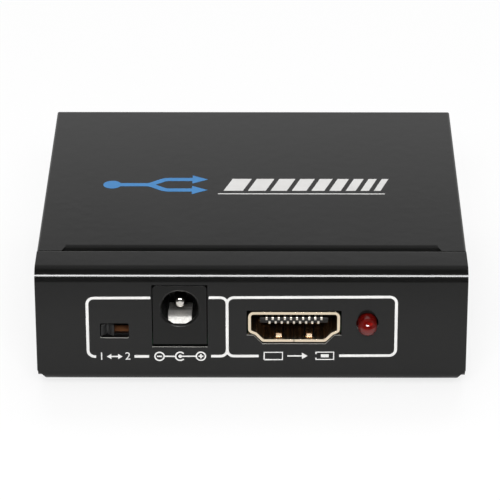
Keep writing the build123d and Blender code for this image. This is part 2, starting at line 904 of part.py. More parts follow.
def board_holes():
    """Holes for everything soldered through the board: x, y and the two side lengths."""
    gap = 2 * hole_gap
    holes = []
    for x, looks_back in ports.values():
        place = on_board(x, looks_back)
        for leg_x, leg_y in leg_places():
            spot = (place * Pos(leg_x, leg_y, 0)).position
            holes.append((spot.X, spot.Y, port_wall + gap, leg_width + gap))
    for x, looks_back in leds.values():
        place = on_board(x, looks_back)
        lead_y = led_length - led_proud + led_lead_run - led_lead / 2
        for lead_x in (-led_lead_pitch / 2, led_lead_pitch / 2):
            spot = (place * Pos(lead_x, lead_y, 0)).position
            holes.append((spot.X, spot.Y, led_lead + gap, led_lead + gap))
    jack_half = jack_width / 2
    blade_y = front + jack_depth - blade_inset + blade_sheet / 2
    holes.append((jack_x, blade_y, blade_width + gap, blade_sheet + gap))
    tail_y = front + jack_bore_depth - spring_tail_inset - spring_sheet / 2
    holes.append((jack_x, tail_y, spring_width + gap, spring_sheet + gap))
    contact_x = jack_x + jack_half - side_contact_sheet / 2
    contact_y = front + side_contact_y + hole_gap + blade_width / 2
    holes.append((contact_x, contact_y, side_contact_sheet + gap, blade_width + gap))
    pin_y = front + switch_back + switch_pin_setback - switch_pin / 2
    for x in switch_pins():
        holes.append((x, pin_y, switch_pin_width + gap, switch_pin + gap))
    leg_x = switch_body_width / 2 - switch_wall / 2
    leg_y = front + switch_face + switch_leg_front + switch_leg_width / 2
    for turn in (1, -1):
        holes.append((switch_x + turn * leg_x, leg_y, switch_wall + gap, switch_leg_width + gap))
    return holes


def main_board():
    """The glass-fibre board with rounded corners, screw holes and soldering slots."""
    middle = (board_bottom + board_top) / 2
    board = Pos(0, (board_front + board_back) / 2, middle) * Box(
        2 * board_half, board_back - board_front, board_thickness
    )
    board = fillet(board.edges().filter_by(Axis.Z), board_corner)
    for x in (-screw_x, screw_x):
        for y in (-screw_y, screw_y):
            board -= Pos(x, y, middle) * Cylinder(screw_diameter / 2 + hole_gap, 2 * board_thickness)
    for x, y, width, depth in board_holes():
        board -= Pos(x, y, middle) * Box(width, depth, 2 * board_thickness)
    return board


def gull_lead(reach, rise, width, thickness):
    """One chip lead along +Y: out of the body, down and flat on the board."""
    path = [(0, rise), (reach * lead_shoulder, rise), (reach * lead_heel, thickness), (reach, thickness)]
    return bent_strip(path, [thickness + lead_bend, lead_bend], thickness, width)


def package(width, depth, height, lift, edge):
    """Moulded body of a chip, a little above the board, its top edges cut off."""
    body = Pos(0, 0, lift) * Box(width, depth, height, align=(Align.CENTER, Align.CENTER, Align.MIN))
    return chamfer(body.edges().group_by(Axis.Z)[-1], edge)


def splitter_chip():
    """Square flat package that copies the picture signal to both outputs."""
    body = package(chip_side, chip_side, chip_height, chip_lift, chip_edge)
    corner = -chip_side / 2 + chip_dot_inset
    body -= Pos(corner, corner, chip_lift + chip_height) * Cylinder(chip_dot / 2, 2 * chip_dot_depth)
    return Pos(chip_x, chip_y, board_top) * body


def memory_chip():
    """Small eight-legged package that holds the display data."""
    return Pos(memory_x, memory_y, board_top) * package(
        memory_width, memory_depth, memory_height, chip_lift, chip_edge
    )


def chip_leads():
    """The leads of both packages, one solid each."""
    lead = gull_lead(chip_foot, chip_height / 2, chip_pin_width, chip_pin_sheet)
    leads = []
    middle = (chip_pins_per_side - 1) / 2
    for turn in range(4):
        for i in range(chip_pins_per_side):
            place = Pos(chip_x, chip_y, board_top) * Rot(0, 0, 90 * turn)
            leads.append(place * Pos((i - middle) * chip_pin_pitch, chip_side / 2, 0) * lead)
    middle = (memory_pins_per_side - 1) / 2
    for turn in (0, 180):
        for i in range(memory_pins_per_side):
            place = Pos(memory_x, memory_y, board_top) * Rot(0, 0, turn)
            leads.append(place * Pos((i - middle) * memory_pin_pitch, memory_depth / 2, 0) * lead)
    return Compound(children=leads)


def clock_crystal():
    """Flat metal can with rounded ends on its base rim."""
    can = extrude(SlotOverall(crystal_width, crystal_depth), amount=crystal_height)
    can = fillet(can.edges().group_by(Axis.Z)[-1], crystal_edge)
    rim = SlotOverall(crystal_width + 2 * crystal_rim, crystal_depth + 2 * crystal_rim)
    return Pos(crystal_x, crystal_y, board_top) * (extrude(rim, amount=crystal_rim_height) + can)


def voltage_regulator():
    """Moulded regulator with its cooling tab and three leads."""
    body = package(regulator_width, regulator_depth, regulator_height, regulator_lift, chip_edge)
    rise = regulator_height / 2
    lead = gull_lead(regulator_foot, rise, regulator_pin_width, regulator_pin_sheet)
    tab = gull_lead(regulator_foot, rise, regulator_tab_width, regulator_pin_sheet)
    half = regulator_depth / 2
    pieces = [body, Rot(0, 0, 180) * Pos(0, half, 0) * tab]
    pieces += [Pos(i * regulator_pin_pitch, half, 0) * lead for i in (-1, 0, 1)]
    return Pos(regulator_x, regulator_y, board_top) * Compound(children=pieces)


def power_inductor():
    """Shielded coil with a round ferrite cap in a square base."""
    base = extrude(RectangleRounded(coil_side, coil_side, coil_corner), amount=coil_base_height)
    cap = Pos(0, 0, coil_height / 2) * Cylinder(coil_cap_diameter / 2, coil_height)
    cap = chamfer(cap.edges().sort_by(Axis.Z)[-1], coil_cap_edge)
    return Pos(coil_x, coil_y, board_top) * (base + cap)


def power_diode():
    """Moulded diode behind the jack, with a flat lead at each end."""
    pieces = [package(diode_width, diode_depth, diode_height, diode_lift, diode_edge)]
    half = diode_width / 2
    across = diode_lead_width / 2
    for near, far in ((half, half + diode_lead_reach), (-half - diode_lead_reach, -half)):
        pieces.append(block(near, far, -across, across, 0, diode_lead_height))
    return Pos(diode_x, diode_y, board_top) * Compound(children=pieces)


def filter_capacitors():
    """Aluminium cans on square plastic bases, with a rolled groove near the foot."""
    radius = can_diameter / 2
    profile = Polyline(
        (0, can_base_height), (radius, can_base_height), (radius, can_groove_height - can_groove_half),
        (radius - can_groove, can_groove_height), (radius, can_groove_height + can_groove_half),
        (radius, can_height - can_edge), (radius - can_edge, can_height), (0, can_height), close=True,
    )
    can = revolve(Plane.XZ * make_face(profile), Axis.Z)
    base = Box(can_base, can_base, can_base_height, align=(Align.CENTER, Align.CENTER, Align.MIN))
    base = chamfer(base.edges().filter_by(Axis.Z).sort_by(Axis.X)[-2:], can_base_corner)
    middle = (can_count - 1) / 2
    places = [Pos(can_x, can_y + (i - middle) * can_pitch, board_top) for i in range(can_count)]
    return Compound(children=[place * (can + base) for place in places])


def chip_parts(places, width, depth, height):
    """Small rectangular parts that lie on the board."""
    body = Box(width, depth, height, align=(Align.CENTER, Align.CENTER, Align.MIN))
    return Compound(children=[Pos(x, y, board_top) * body for x, y in places])


def ceramic_capacitors():
    """Decoupling capacitors in rows along two sides of the main chip."""
    middle = (capacitors_per_row - 1) / 2
    places = []
    for y in (chip_y - capacitor_offset, chip_y + capacitor_offset):
        places += [(chip_x + (i - middle) * capacitor_pitch, y) for i in range(capacitors_per_row)]
    return chip_parts(places, capacitor_width, capacitor_depth, capacitor_height)


def line_resistors():
    """Series resistors behind each receptacle, one for each signal pair."""
    middle = (resistors_per_port - 1) / 2
    places = []
    for x, looks_back in ports.values():
        y = rear - resistor_setback if looks_back else front + resistor_setback
        places += [(x + (i - middle) * resistor_pitch, y) for i in range(resistors_per_port)]
    return chip_parts(places, resistor_width, resistor_depth, resistor_height)


os.makedirs("parts", exist_ok=True)
save("base_tray", base_tray())
save("top_cover", top_cover())
save("cover_screws", cover_screws())
save("board_standoffs", board_standoffs())
save("board_screws", board_screws())
save("rubber_feet", rubber_feet())
save("main_board", main_board())
save("splitter_chip", splitter_chip())
save("memory_chip", memory_chip())
save("chip_leads", chip_leads())
save("clock_crystal", clock_crystal())
save("voltage_regulator", voltage_regulator())
save("power_inductor", power_inductor())
save("power_diode", power_diode())
save("filter_capacitors", filter_capacitors())
save("ceramic_capacitors", ceramic_capacitors())
save("line_resistors", line_resistors())
save("jack_housing", on_board(jack_x, False) * jack_housing())
save("jack_centre_pin", on_board(jack_x, False) * jack_centre_pin())
save("jack_sleeve_spring", on_board(jack_x, False) * jack_sleeve_spring())
save("jack_switch_contact", on_board(jack_x, False) * jack_switch_contact())
for port, (x, looks_back) in ports.items():
    save(f"{port}_port_shell", on_board(x, looks_back) * port_shell())
    save(f"{port}_port_insulator", on_board(x, looks_back) * port_insulator())
    save(f"{port}_port_contacts", on_board(x, looks_back) * port_contacts())
for led, (x, looks_back) in leds.items():
    save(f"{led}_led_lens", on_board(x, looks_back) * led_lens())
    save(f"{led}_led_leads", on_board(x, looks_back) * led_leads())
save("switch_frame", switch_frame())
save("switch_base", switch_base())
save("switch_terminals", switch_terminals())
save("switch_knob", switch_knob())
save("switch_wiper", switch_wiper())
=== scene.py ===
# %% [markdown]
# # A small video splitter, dressed for the camera
#
# The CAD model gives every piece its size and place. This lesson gives the pieces their
# looks: eased edges, printed marks, paint, plating, resin, and the light of a plain studio.
# Everything is in metres in the CAD's own frame, so nothing is ever fitted by hand.

# %% Load the frame
import math

import bmesh
import bpy
from mathutils import Matrix, Vector


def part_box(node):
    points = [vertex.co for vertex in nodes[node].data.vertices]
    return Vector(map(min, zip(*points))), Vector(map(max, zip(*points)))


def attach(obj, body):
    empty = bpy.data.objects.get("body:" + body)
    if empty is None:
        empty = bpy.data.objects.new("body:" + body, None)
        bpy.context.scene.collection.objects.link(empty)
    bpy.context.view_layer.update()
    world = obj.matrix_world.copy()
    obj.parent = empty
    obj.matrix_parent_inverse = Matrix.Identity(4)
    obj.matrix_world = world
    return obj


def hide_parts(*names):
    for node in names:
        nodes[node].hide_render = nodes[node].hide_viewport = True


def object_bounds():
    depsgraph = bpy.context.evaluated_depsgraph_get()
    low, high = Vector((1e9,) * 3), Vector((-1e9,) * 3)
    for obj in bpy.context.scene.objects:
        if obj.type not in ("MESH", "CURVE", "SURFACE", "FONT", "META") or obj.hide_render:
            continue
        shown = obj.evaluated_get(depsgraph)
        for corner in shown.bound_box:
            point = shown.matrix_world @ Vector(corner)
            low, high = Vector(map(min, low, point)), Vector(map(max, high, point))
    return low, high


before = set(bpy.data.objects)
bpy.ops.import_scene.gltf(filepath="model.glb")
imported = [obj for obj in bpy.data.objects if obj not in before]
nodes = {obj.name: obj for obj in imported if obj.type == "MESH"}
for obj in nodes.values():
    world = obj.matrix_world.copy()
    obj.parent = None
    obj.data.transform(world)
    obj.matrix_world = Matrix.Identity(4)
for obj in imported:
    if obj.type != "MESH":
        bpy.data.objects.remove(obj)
cad_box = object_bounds()
mm = 0.001
print("CAD pieces:", len(nodes), "box in mm:", [round(x / mm, 2) for x in (*cad_box[0], *cad_box[1])])

# %% [markdown]
# ## Places
#
# The case's faces are read from the CAD. The fittings' own axes aren't faces, so their
# places are written here once, in millimetres, as the CAD has them.

# %% Places
case_low, case_high = (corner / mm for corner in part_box("base_tray"))
front_y, rear_y, roof_z = case_low.y, case_high.y, case_high.z
side_x, floor_z = case_high.x, case_low.z
board_z = 9.1
jack_x, jack_z = -11.69, 15.65
switch_x = -22.4
port_x = {"input": 6.98, "output_1": 16.67, "output_2": -10.93}
lamp_x, lamp_z = {"power": 18.95, "output_1": 4.70, "output_2": -22.90}, 13.04
origin = (0.0, 0.0, 0.0)
along_x = (1.0, 0.0, 0.0)
upwards = (0.0, 0.0, 1.0)


def shift(x, y, z):
    """A move by millimetres, as a matrix."""
    return Matrix.Translation((x * mm, y * mm, z * mm))


def seat(name, x, z):
    """Where a fitting sits in its panel; the outputs sit in the rear one and face backwards."""
    if name.startswith("output"):
        return shift(x, rear_y, z) @ Matrix.Rotation(math.pi, 4, "Z")
    return shift(x, front_y, z)


def new_object(name, data):
    made = bpy.data.objects.new(name, data)
    bpy.context.scene.collection.objects.link(made)
    return made


def mesh_from(build, name):
    """Turns a bmesh into a mesh and frees it."""
    mesh = bpy.data.meshes.new(name)
    build.to_mesh(mesh)
    build.free()
    return mesh


print("front", front_y, "rear", rear_y, "roof", roof_z)

# %% [markdown]
# ## Camera
#
# The camera stands where the photographer's stood: half a metre off, 26 degrees above the
# table, with a long lens. A long lens keeps the sides of the box nearly parallel. Its place
# was worked out from the corners of the box, so the render can be laid over the photograph.

# %% Camera
camera_place = Vector((3.005, -500.506, 254.249)) * mm
camera_target = Vector((-0.197, -32.25, 26.272)) * mm
camera_roll = math.radians(-0.101)
camera_lens = 232.09

lens = bpy.data.cameras.new("camera")
lens.lens = camera_lens
lens.sensor_width = 36.0
lens.clip_start = 0.01
lens.clip_end = 50.0
camera = new_object("camera", lens)
aim = (camera_target - camera_place).to_track_quat("-Z", "Y").to_matrix().to_4x4()
camera.matrix_world = Matrix.Translation(camera_place) @ aim @ Matrix.Rotation(camera_roll, 4, "Z")
bpy.context.scene.camera = camera
print("camera at", [round(x, 4) for x in camera_place])

# %% [markdown]
# ## Node helpers
#
# Shaders and geometry trees are both made of nodes. One helper adds a node, sets its
# choices, and fills each input with either a plain value or a link from another node. The
# small ones after it stand for the nodes that come back most often.

# %% Node helpers
def add_node(tree, kind, values=None, **choices):
    """Adds a node. values maps an input's name or number to a value or an output socket."""
    made = tree.nodes.new(kind)
    for name, choice in choices.items():
        setattr(made, name, choice)
    for key, value in (values or {}).items():
        if isinstance(value, bpy.types.NodeSocket):
            tree.links.new(value, made.inputs[key])
        else:
            made.inputs[key].default_value = value
    return made


def add_out(tree, kind, values=None, **choices):
    """Adds a node and returns its first output."""
    return add_node(tree, kind, values, **choices).outputs[0]


def add_math(tree, operation, *values, clamp=False):
    return add_out(tree, "ShaderNodeMath", dict(enumerate(values)), operation=operation, use_clamp=clamp)


def vector_math(tree, operation, values):
    return add_out(tree, "ShaderNodeVectorMath", values, operation=operation)


def axes_of(tree, vector):
    return add_node(tree, "ShaderNodeSeparateXYZ", {0: vector}).outputs


def noise(tree, place, scale, detail):
    return add_out(tree, "ShaderNodeTexNoise", {"Vector": place, "Scale": scale, "Detail": detail})


def add_bump(tree, distance, height, strength=1.0, **more):
    values = {"Strength": strength, "Distance": distance, "Height": height, **more}
    return add_out(tree, "ShaderNodeBump", values)


def mix_colour(tree, factor, low, high):
    """A colour between two, each a socket or three numbers."""
    low, high = (end if isinstance(end, bpy.types.NodeSocket) else (*end, 1.0) for end in (low, high))
    return add_node(tree, "ShaderNodeMix", {0: factor, 6: low, 7: high}, data_type="RGBA").outputs[2]


def fade(tree, value, start, end, low=0.0, high=1.0):
    """low at start, high at end, and a smooth run between."""
    values = {"Value": value, 1: start, 2: end, 3: low, 4: high}
    return add_out(tree, "ShaderNodeMapRange", values, interpolation_type="SMOOTHSTEP")


def feed(node, **values):
    """Links sockets to a node's inputs; an underscore stands for a space."""
    for key, value in values.items():
        node.id_data.links.new(value, node.inputs[key.replace("_", " ")])


def new_tree(name, kind, inputs, outputs):
    """A node tree with named sockets, each of the kind of its sample value."""
    tree = bpy.data.node_groups.new(name, kind)
    kinds = {float: "NodeSocketFloat", int: "NodeSocketInt", 3: "NodeSocketVector", 4: "NodeSocketColor"}
    for way, sockets in (("INPUT", inputs), ("OUTPUT", outputs)):
        for label, sample in sockets.items():
            named = isinstance(sample, str)
            known = sample if named else kinds.get(type(sample)) or kinds[len(sample)]
            socket = tree.interface.new_socket(label, in_out=way, socket_type=known)
            if way == "INPUT" and not named:
                socket.default_value = sample
    return tree, add_node(tree, "NodeGroupInput").outputs, add_node(tree, "NodeGroupOutput")


print("helpers ready")

# %% [markdown]
# ## Light
#
# Black gloss paint has hardly any colour of its own. What the eye reads is what the paint
# mirrors, so the studio is designed from the reflections. A pale backdrop low behind the
# box shows in the top face: it is white at the horizon, greyer above it, and gone overhead,
# so the face runs from grey at the back to darker in front, and the pressed-down edge is
# nearly black. The World answers diffuse rays with an even fill, and camera rays with
# plain white.

# %% World
fill_level = 0.50
upper_level = 0.36
horizon_level = 0.52
side_level = 0.22
horizon_band = (0.460, 0.365)
behind_band = (-0.08, 0.32)
side_band = (0.55, 0.95)
white = (1.0, 1.0, 1.0, 1.0)

world = bpy.data.worlds.new("studio")
bpy.context.scene.world = world
world.use_nodes = True
tree = world.node_tree
tree.nodes.clear()
axes = axes_of(tree, add_node(tree, "ShaderNodeTexCoord").outputs["Generated"])
horizon = fade(tree, axes["Z"], *horizon_band)
behind = fade(tree, axes["Y"], *behind_band)
sideways = fade(tree, add_math(tree, "ABSOLUTE", axes["X"]), *side_band)
wall = add_math(tree, "MULTIPLY_ADD", horizon, horizon_level, upper_level)
mirrored = add_math(tree, "MULTIPLY", wall, behind)
mirrored = add_math(tree, "MULTIPLY_ADD", sideways, side_level, mirrored)
rays = add_node(tree, "ShaderNodeLightPath").outputs
sharp_rays = add_math(tree, "ADD", rays["Is Glossy Ray"], rays["Is Transmission Ray"], clamp=True)
level = add_out(tree, "ShaderNodeMix", {0: sharp_rays, 2: fill_level, 3: mirrored}, data_type="FLOAT")
level = add_out(tree, "ShaderNodeMix", {0: rays["Is Camera Ray"], 2: level, 3: 1.0}, data_type="FLOAT")
light = add_out(tree, "ShaderNodeBackground", {"Color": white, "Strength": level})
add_node(tree, "ShaderNodeOutputWorld", {"Surface": light})
print("world fill", fill_level)

# %% [markdown]
# ## Soft boxes
#
# A soft box in front and above draws the bright line along the front bend. A thinner one
# inside it shows only in mirror images, which gives that line its white core. A third one
# high behind the box lights it without a mirror image of its own.

# %% Soft boxes
def soft_box(name, azimuth, elevation, distance, size, radiance, mirrored=True, lights=True):
    """An area light that looks at the object; radiance 1 is plain white."""
    a, e = math.radians(azimuth), math.radians(elevation)
    away = Vector((math.sin(a) * math.cos(e), -math.cos(a) * math.cos(e), math.sin(e)))
    lamp = bpy.data.lights.new(name, "AREA")
    lamp.shape = "RECTANGLE"
    lamp.size, lamp.size_y = size
    lamp.energy = radiance * math.pi * size[0] * size[1]
    made = new_object(name, lamp)
    facing = away.to_track_quat("Z", "Y").to_matrix().to_4x4()
    made.matrix_world = Matrix.Translation(away * distance) @ facing
    made.visible_glossy = mirrored
    made.visible_diffuse = lights
    made.visible_camera = False


soft_box("key", 0, 36.6, 0.62, (0.36, 0.13), 24.0)
soft_box("gleam", 0, 36.2, 0.60, (0.36, 0.10), 18.0, lights=False)
soft_box("back_fill", 180, 62, 0.75, (0.50, 0.30), 4.0, mirrored=False)
print("soft boxes: key, gleam, back_fill")

# %% [markdown]
# ## Floor
#
# The floor is a plain pale disc. It is stage and not part of the object. For the rays that
# make a picture or a mirror image most of its light is its own, which keeps it white right
# up to the horizon, and the rest is ordinary diffuse light, which keeps the soft shadow.
# In the mirror image it fades a hand's breadth from the box, as a small table would, and
# it is dark under the box. That gives the upright faces their tone, darker to the top.

# %% Floor
own_light = 0.8
under_box = (-0.012, 0.006, 0.25, 1.0)
table_edge = (0.02, 0.075, 1.0, 0.05)

build = bmesh.new()
bmesh.ops.create_circle(build, cap_ends=True, segments=96, radius=3.0)
floor = new_object("floor", mesh_from(build, "floor"))
floor_finish = bpy.data.materials.new("pale_floor")
floor_finish.use_nodes = True
tree = floor_finish.node_tree
matt = tree.nodes["Principled BSDF"]
matt.inputs["Base Color"].default_value = (0.82, 0.82, 0.82, 1.0)
matt.inputs["Roughness"].default_value = 0.9
matt.inputs["Specular IOR Level"].default_value = 0.1
here = add_node(tree, "ShaderNodeTexCoord").outputs["Object"]
from_middle = vector_math(tree, "ABSOLUTE", {0: here})
beyond = axes_of(tree, vector_math(tree, "SUBTRACT", {0: from_middle, 1: cad_box[1]}))
beyond = add_math(tree, "MAXIMUM", beyond["X"], beyond["Y"])
table = add_math(tree, "MULTIPLY", fade(tree, beyond, *under_box), fade(tree, beyond, *table_edge))
rays = add_node(tree, "ShaderNodeLightPath").outputs
seen = add_math(tree, "ADD", rays["Is Camera Ray"], rays["Is Glossy Ray"], clamp=True)
seen = add_math(tree, "ADD", seen, rays["Is Transmission Ray"], clamp=True)
own = add_math(tree, "MULTIPLY", seen, own_light)
glow = add_out(tree, "ShaderNodeEmission", {"Color": white, "Strength": 1.0})
lit = add_out(tree, "ShaderNodeMixShader", {0: own, 1: matt.outputs[0], 2: glow})
dark = add_out(tree, "ShaderNodeEmission", {"Strength": 0.0})
faded = add_math(tree, "MULTIPLY", add_math(tree, "SUBTRACT", 1.0, table), rays["Is Glossy Ray"])
both = add_out(tree, "ShaderNodeMixShader", {0: faded, 1: lit, 2: dark})
feed(tree.nodes["Material Output"], Surface=both)
floor.data.materials.append(floor_finish)
bpy.context.scene.view_settings.view_transform = "Standard"
print("floor staged")

# %% [markdown]
# ## Fine grain
#
# Some effects belong to many finishes. Each is a node group, built once, that hands out
# only masks, values and normals. The shader itself stays in each material. The first one
# is a fine grain with a slower ripple under it, as sprayed paint and moulded plastic have.
# It tilts the surface and varies its gloss.

# %% Grain group
ripple_share = 0.3
broad_share = 0.06

grain, given, out = new_tree(
    "fine_grain", "ShaderNodeTree",
    {"Place": origin, "Scale": 2500.0, "Depth": 0.02, "Gloss Spread": 0.05, "Roughness": 0.3, "Ripple": 0.0},
    {"Normal": origin, "Roughness": 0.0, "Mask": 0.0},
)
fine = noise(grain, given["Place"], given["Scale"], 3.0)
broad = noise(grain, given["Place"], add_math(grain, "MULTIPLY", given["Scale"], broad_share), 4.0)
depth = add_math(grain, "MULTIPLY", given["Depth"], mm)
ripple = noise(grain, given["Place"], add_math(grain, "MULTIPLY", given["Scale"], ripple_share), 1.0)
ripple_depth = add_math(grain, "MULTIPLY", given["Ripple"], mm)
bump = add_bump(grain, depth, fine, Normal=add_bump(grain, ripple_depth, ripple))
centred = add_math(grain, "SUBTRACT", broad, 0.5)
gloss = add_math(grain, "MULTIPLY_ADD", centred, given["Gloss Spread"], given["Roughness"])
feed(out, Normal=bump, Roughness=gloss, Mask=broad)
print("group", grain.name)

# %% [markdown]
# ## Wear and dust
#
# Use rubs the paint off the corners in patches, and dust settles as single specks. The
# corners come from an attribute called edge. The dust is a few cells of a fine pattern,
# each with one small round speck in its middle.

# %% Wear and dust groups
patch_scale = 420.0
patch_contrast = 6.0
speck_radius = 0.085
speck_strength = 0.35
dust_colour = (0.4, 0.4, 0.38)
dark_grey = (0.01, 0.01, 0.01, 1.0)

wear, given, out = new_tree(
    "rubbed_edges", "ShaderNodeTree",
    {"Place": origin, "Colour": dark_grey, "Worn Colour": (0.1, 0.1, 0.1, 1.0), "Amount": 0.5},
    {"Colour": dark_grey, "Mask": 0.0},
)
edge = add_node(wear, "ShaderNodeAttribute", attribute_name="edge", attribute_type="GEOMETRY").outputs["Fac"]
patches = noise(wear, given["Place"], patch_scale, 5.0)
over = add_math(wear, "SUBTRACT", patches, add_math(wear, "SUBTRACT", 1.0, given["Amount"]))
patchy = add_math(wear, "MULTIPLY", over, patch_contrast, clamp=True)
mask = add_math(wear, "MULTIPLY", patchy, edge)
feed(out, Colour=mix_colour(wear, mask, given["Colour"], given["Worn Colour"]), Mask=mask)

dust, given, out = new_tree(
    "dust_specks", "ShaderNodeTree",
    {"Place": origin, "Colour": dark_grey, "Cells": 700.0, "Share": 0.06}, {"Colour": dark_grey, "Mask": 0.0},
)
cells = add_node(dust, "ShaderNodeTexVoronoi", {"Vector": given["Place"], "Scale": given["Cells"]}).outputs
chosen = add_math(dust, "LESS_THAN", cells["Color"], given["Share"])
speck = add_math(dust, "LESS_THAN", cells["Distance"], speck_radius)
mask = add_math(dust, "MULTIPLY", chosen, speck)
faint = add_math(dust, "MULTIPLY", mask, speck_strength)
feed(out, Colour=mix_colour(dust, faint, given["Colour"], dust_colour), Mask=mask)
print("groups", wear.name, dust.name)

# %% [markdown]
# ## Streaks
#
# Rolling, drawing and turning leave fine lines in metal, all in one direction. The lines
# are a noise that is stretched along that direction.

# %% Streak group
streaks, given, out = new_tree(
    "metal_streaks", "ShaderNodeTree",
    {"Place": origin, "Stretch": (1.0, 0.04, 1.0), "Scale": 6000.0, "Depth": 0.004, "Roughness": 0.3,
     "Spread": 0.15},
    {"Normal": origin, "Roughness": 0.0, "Mask": 0.0},
)
pulled = vector_math(streaks, "MULTIPLY", {0: given["Place"], 1: given["Stretch"]})
drawn = noise(streaks, pulled, given["Scale"], 4.0)
bump = add_bump(streaks, add_math(streaks, "MULTIPLY", given["Depth"], mm), drawn)
centred = add_math(streaks, "SUBTRACT", drawn, 0.5)
gloss = add_math(streaks, "MULTIPLY_ADD", centred, given["Spread"], given["Roughness"])
feed(out, Normal=bump, Roughness=gloss, Mask=drawn)
print("group", streaks.name)

# %% [markdown]
# ## Finishes
#
# Each finish starts from a Principled shader. What is the same all over is set on the
# shader's own sockets. The groups then feed its colour, roughness and normal, from Object
# coordinates, so that a pattern stays on its piece when the piece moves.

# %% Finish helpers
mottle = 0.14


def new_finish(name, colour, **values):
    """A material with one Principled shader; returns it, its tree, shader and coordinates."""
    made = bpy.data.materials.new(name)
    made.use_nodes = True
    tree = made.node_tree
    shader = tree.nodes["Principled BSDF"]
    shader.inputs["Base Color"].default_value = (*colour, 1.0)
    for key, value in values.items():
        shader.inputs[key.replace("_", " ")].default_value = value
    return made, tree, shader, add_node(tree, "ShaderNodeTexCoord").outputs["Object"]


def reopened(finish):
    """The tree, shader and coordinates of a finish that gets something more."""
    tree = finish.node_tree
    return tree, tree.nodes["Principled BSDF"], add_node(tree, "ShaderNodeTexCoord").outputs["Object"]


def source(shader, name):
    return shader.inputs[name].links[0].from_socket


def grainy(name, colour, roughness, scale, depth, spread=0.05, ripple=0.0, worn=None, dusty=0.0, **values):
    """A painted or moulded finish: fine grain, and rubbed edges and dust where asked."""
    made, tree, shader, place = new_finish(name, colour, **values)
    surface = add_node(tree, "ShaderNodeGroup", {
        "Place": place, "Scale": scale, "Depth": depth, "Gloss Spread": spread, "Roughness": roughness,
        "Ripple": ripple,
    }, node_tree=grain).outputs
    feed(shader, Normal=surface["Normal"], Roughness=surface["Roughness"])
    darker, lighter = ([share * c for c in colour] for share in (1 - mottle, 1 + mottle))
    shade = mix_colour(tree, surface["Mask"], darker, lighter)
    if worn:
        shade = add_out(tree, "ShaderNodeGroup", {
            "Place": place, "Colour": shade, "Worn Colour": (*worn[0], 1.0), "Amount": worn[1],
        }, node_tree=wear)
    if dusty:
        values = {"Place": place, "Colour": shade, "Share": dusty}
        shade = add_out(tree, "ShaderNodeGroup", values, node_tree=dust)
    feed(shader, Base_Color=shade)
    return made


def metal(name, colour, roughness, stretch=(1, 0.04, 1), scale=6000.0, depth=0.004, spread=0.15, dull=0.8):
    """A metal finish with streaks, a little darker where the streaks run."""
    made, tree, shader, place = new_finish(name, colour, Metallic=1.0)
    surface = add_node(tree, "ShaderNodeGroup", {
        "Place": place, "Stretch": stretch, "Scale": scale, "Depth": depth, "Roughness": roughness,
        "Spread": spread,
    }, node_tree=streaks).outputs
    shade = mix_colour(tree, surface["Mask"], [dull * c for c in colour], colour)
    feed(shader, Normal=surface["Normal"], Roughness=surface["Roughness"], Base_Color=shade)
    return made


print("finish helpers ready")

# %% [markdown]
# ## Paint, ink and plastics
#
# The case paint is nearly black and glossy, with a slight ripple. The moulded parts are a
# little rougher. Each has its own grain, since a mould is eroded coarser than paint dries.

# %% Paint, plastics and rubber
paint = grainy(
    "black_paint", (0.0058, 0.0058, 0.0056), 0.13, 1800.0, 0.0012, spread=0.05, ripple=0.006,
    worn=((0.07, 0.07, 0.068), 0.46), dusty=0.03, Specular_IOR_Level=0.27,
)
print_white = grainy("white_ink", (0.60, 0.596, 0.585), 0.45, 5200.0, 0.003)
print_blue = grainy("blue_ink", (0.030, 0.182, 0.433), 0.42, 5200.0, 0.003)
jack_plastic = grainy(
    "black_nylon", (0.0045, 0.0045, 0.0042), 0.30, 5200.0, 0.002, spread=0.1,
    worn=((0.03, 0.03, 0.03), 0.5), Specular_IOR_Level=0.24,
)
port_plastic = grainy(
    "black_moulding", (0.006, 0.006, 0.006), 0.45, 6000.0, 0.004, spread=0.1, Specular_IOR_Level=0.3,
)
knob_plastic = grainy(
    "knob_acetal", (0.0115, 0.0115, 0.0115), 0.36, 5200.0, 0.003, spread=0.1,
    worn=((0.05, 0.05, 0.05), 0.52), Specular_IOR_Level=0.36,
)
rubber = grainy("foot_rubber", (0.016, 0.016, 0.016), 0.78, 3200.0, 0.02, spread=0.1, dusty=0.08)
epoxy = grainy("chip_epoxy", (0.018, 0.018, 0.019), 0.55, 9000.0, 0.006, spread=0.12)
brown_plate = grainy(
    "brown_laminate", (0.15, 0.058, 0.022), 0.6, 4200.0, 0.006, spread=0.12, Specular_IOR_Level=0.15,
)
ferrite = grainy("ferrite", (0.055, 0.055, 0.058), 0.62, 7000.0, 0.012, spread=0.15)
ceramic = grainy("ceramic_parts", (0.33, 0.22, 0.13), 0.4, 5000.0, 0.004)
print("paints and plastics: 11")

# %% [markdown]
# ## Painted edge highlights
#
# The lower edges of the openings catch a thin pale line of light, and that line is a painted highlight: a
# pale, part metallic colour on the cut faces. An attribute marks those cut faces, and the line is only their
# first fifth of a millimetre. The edge of the lip gets a fainter painted highlight of the same kind.

# %% Painted edge highlights
highlight_colour = (0.50, 0.49, 0.46)
highlight_metallic, highlight_roughness = 0.35, 0.4
rim_width = 0.22
lip_length = 7.15
lip_stretch = 0.28
lip_highlight_share = 0.1

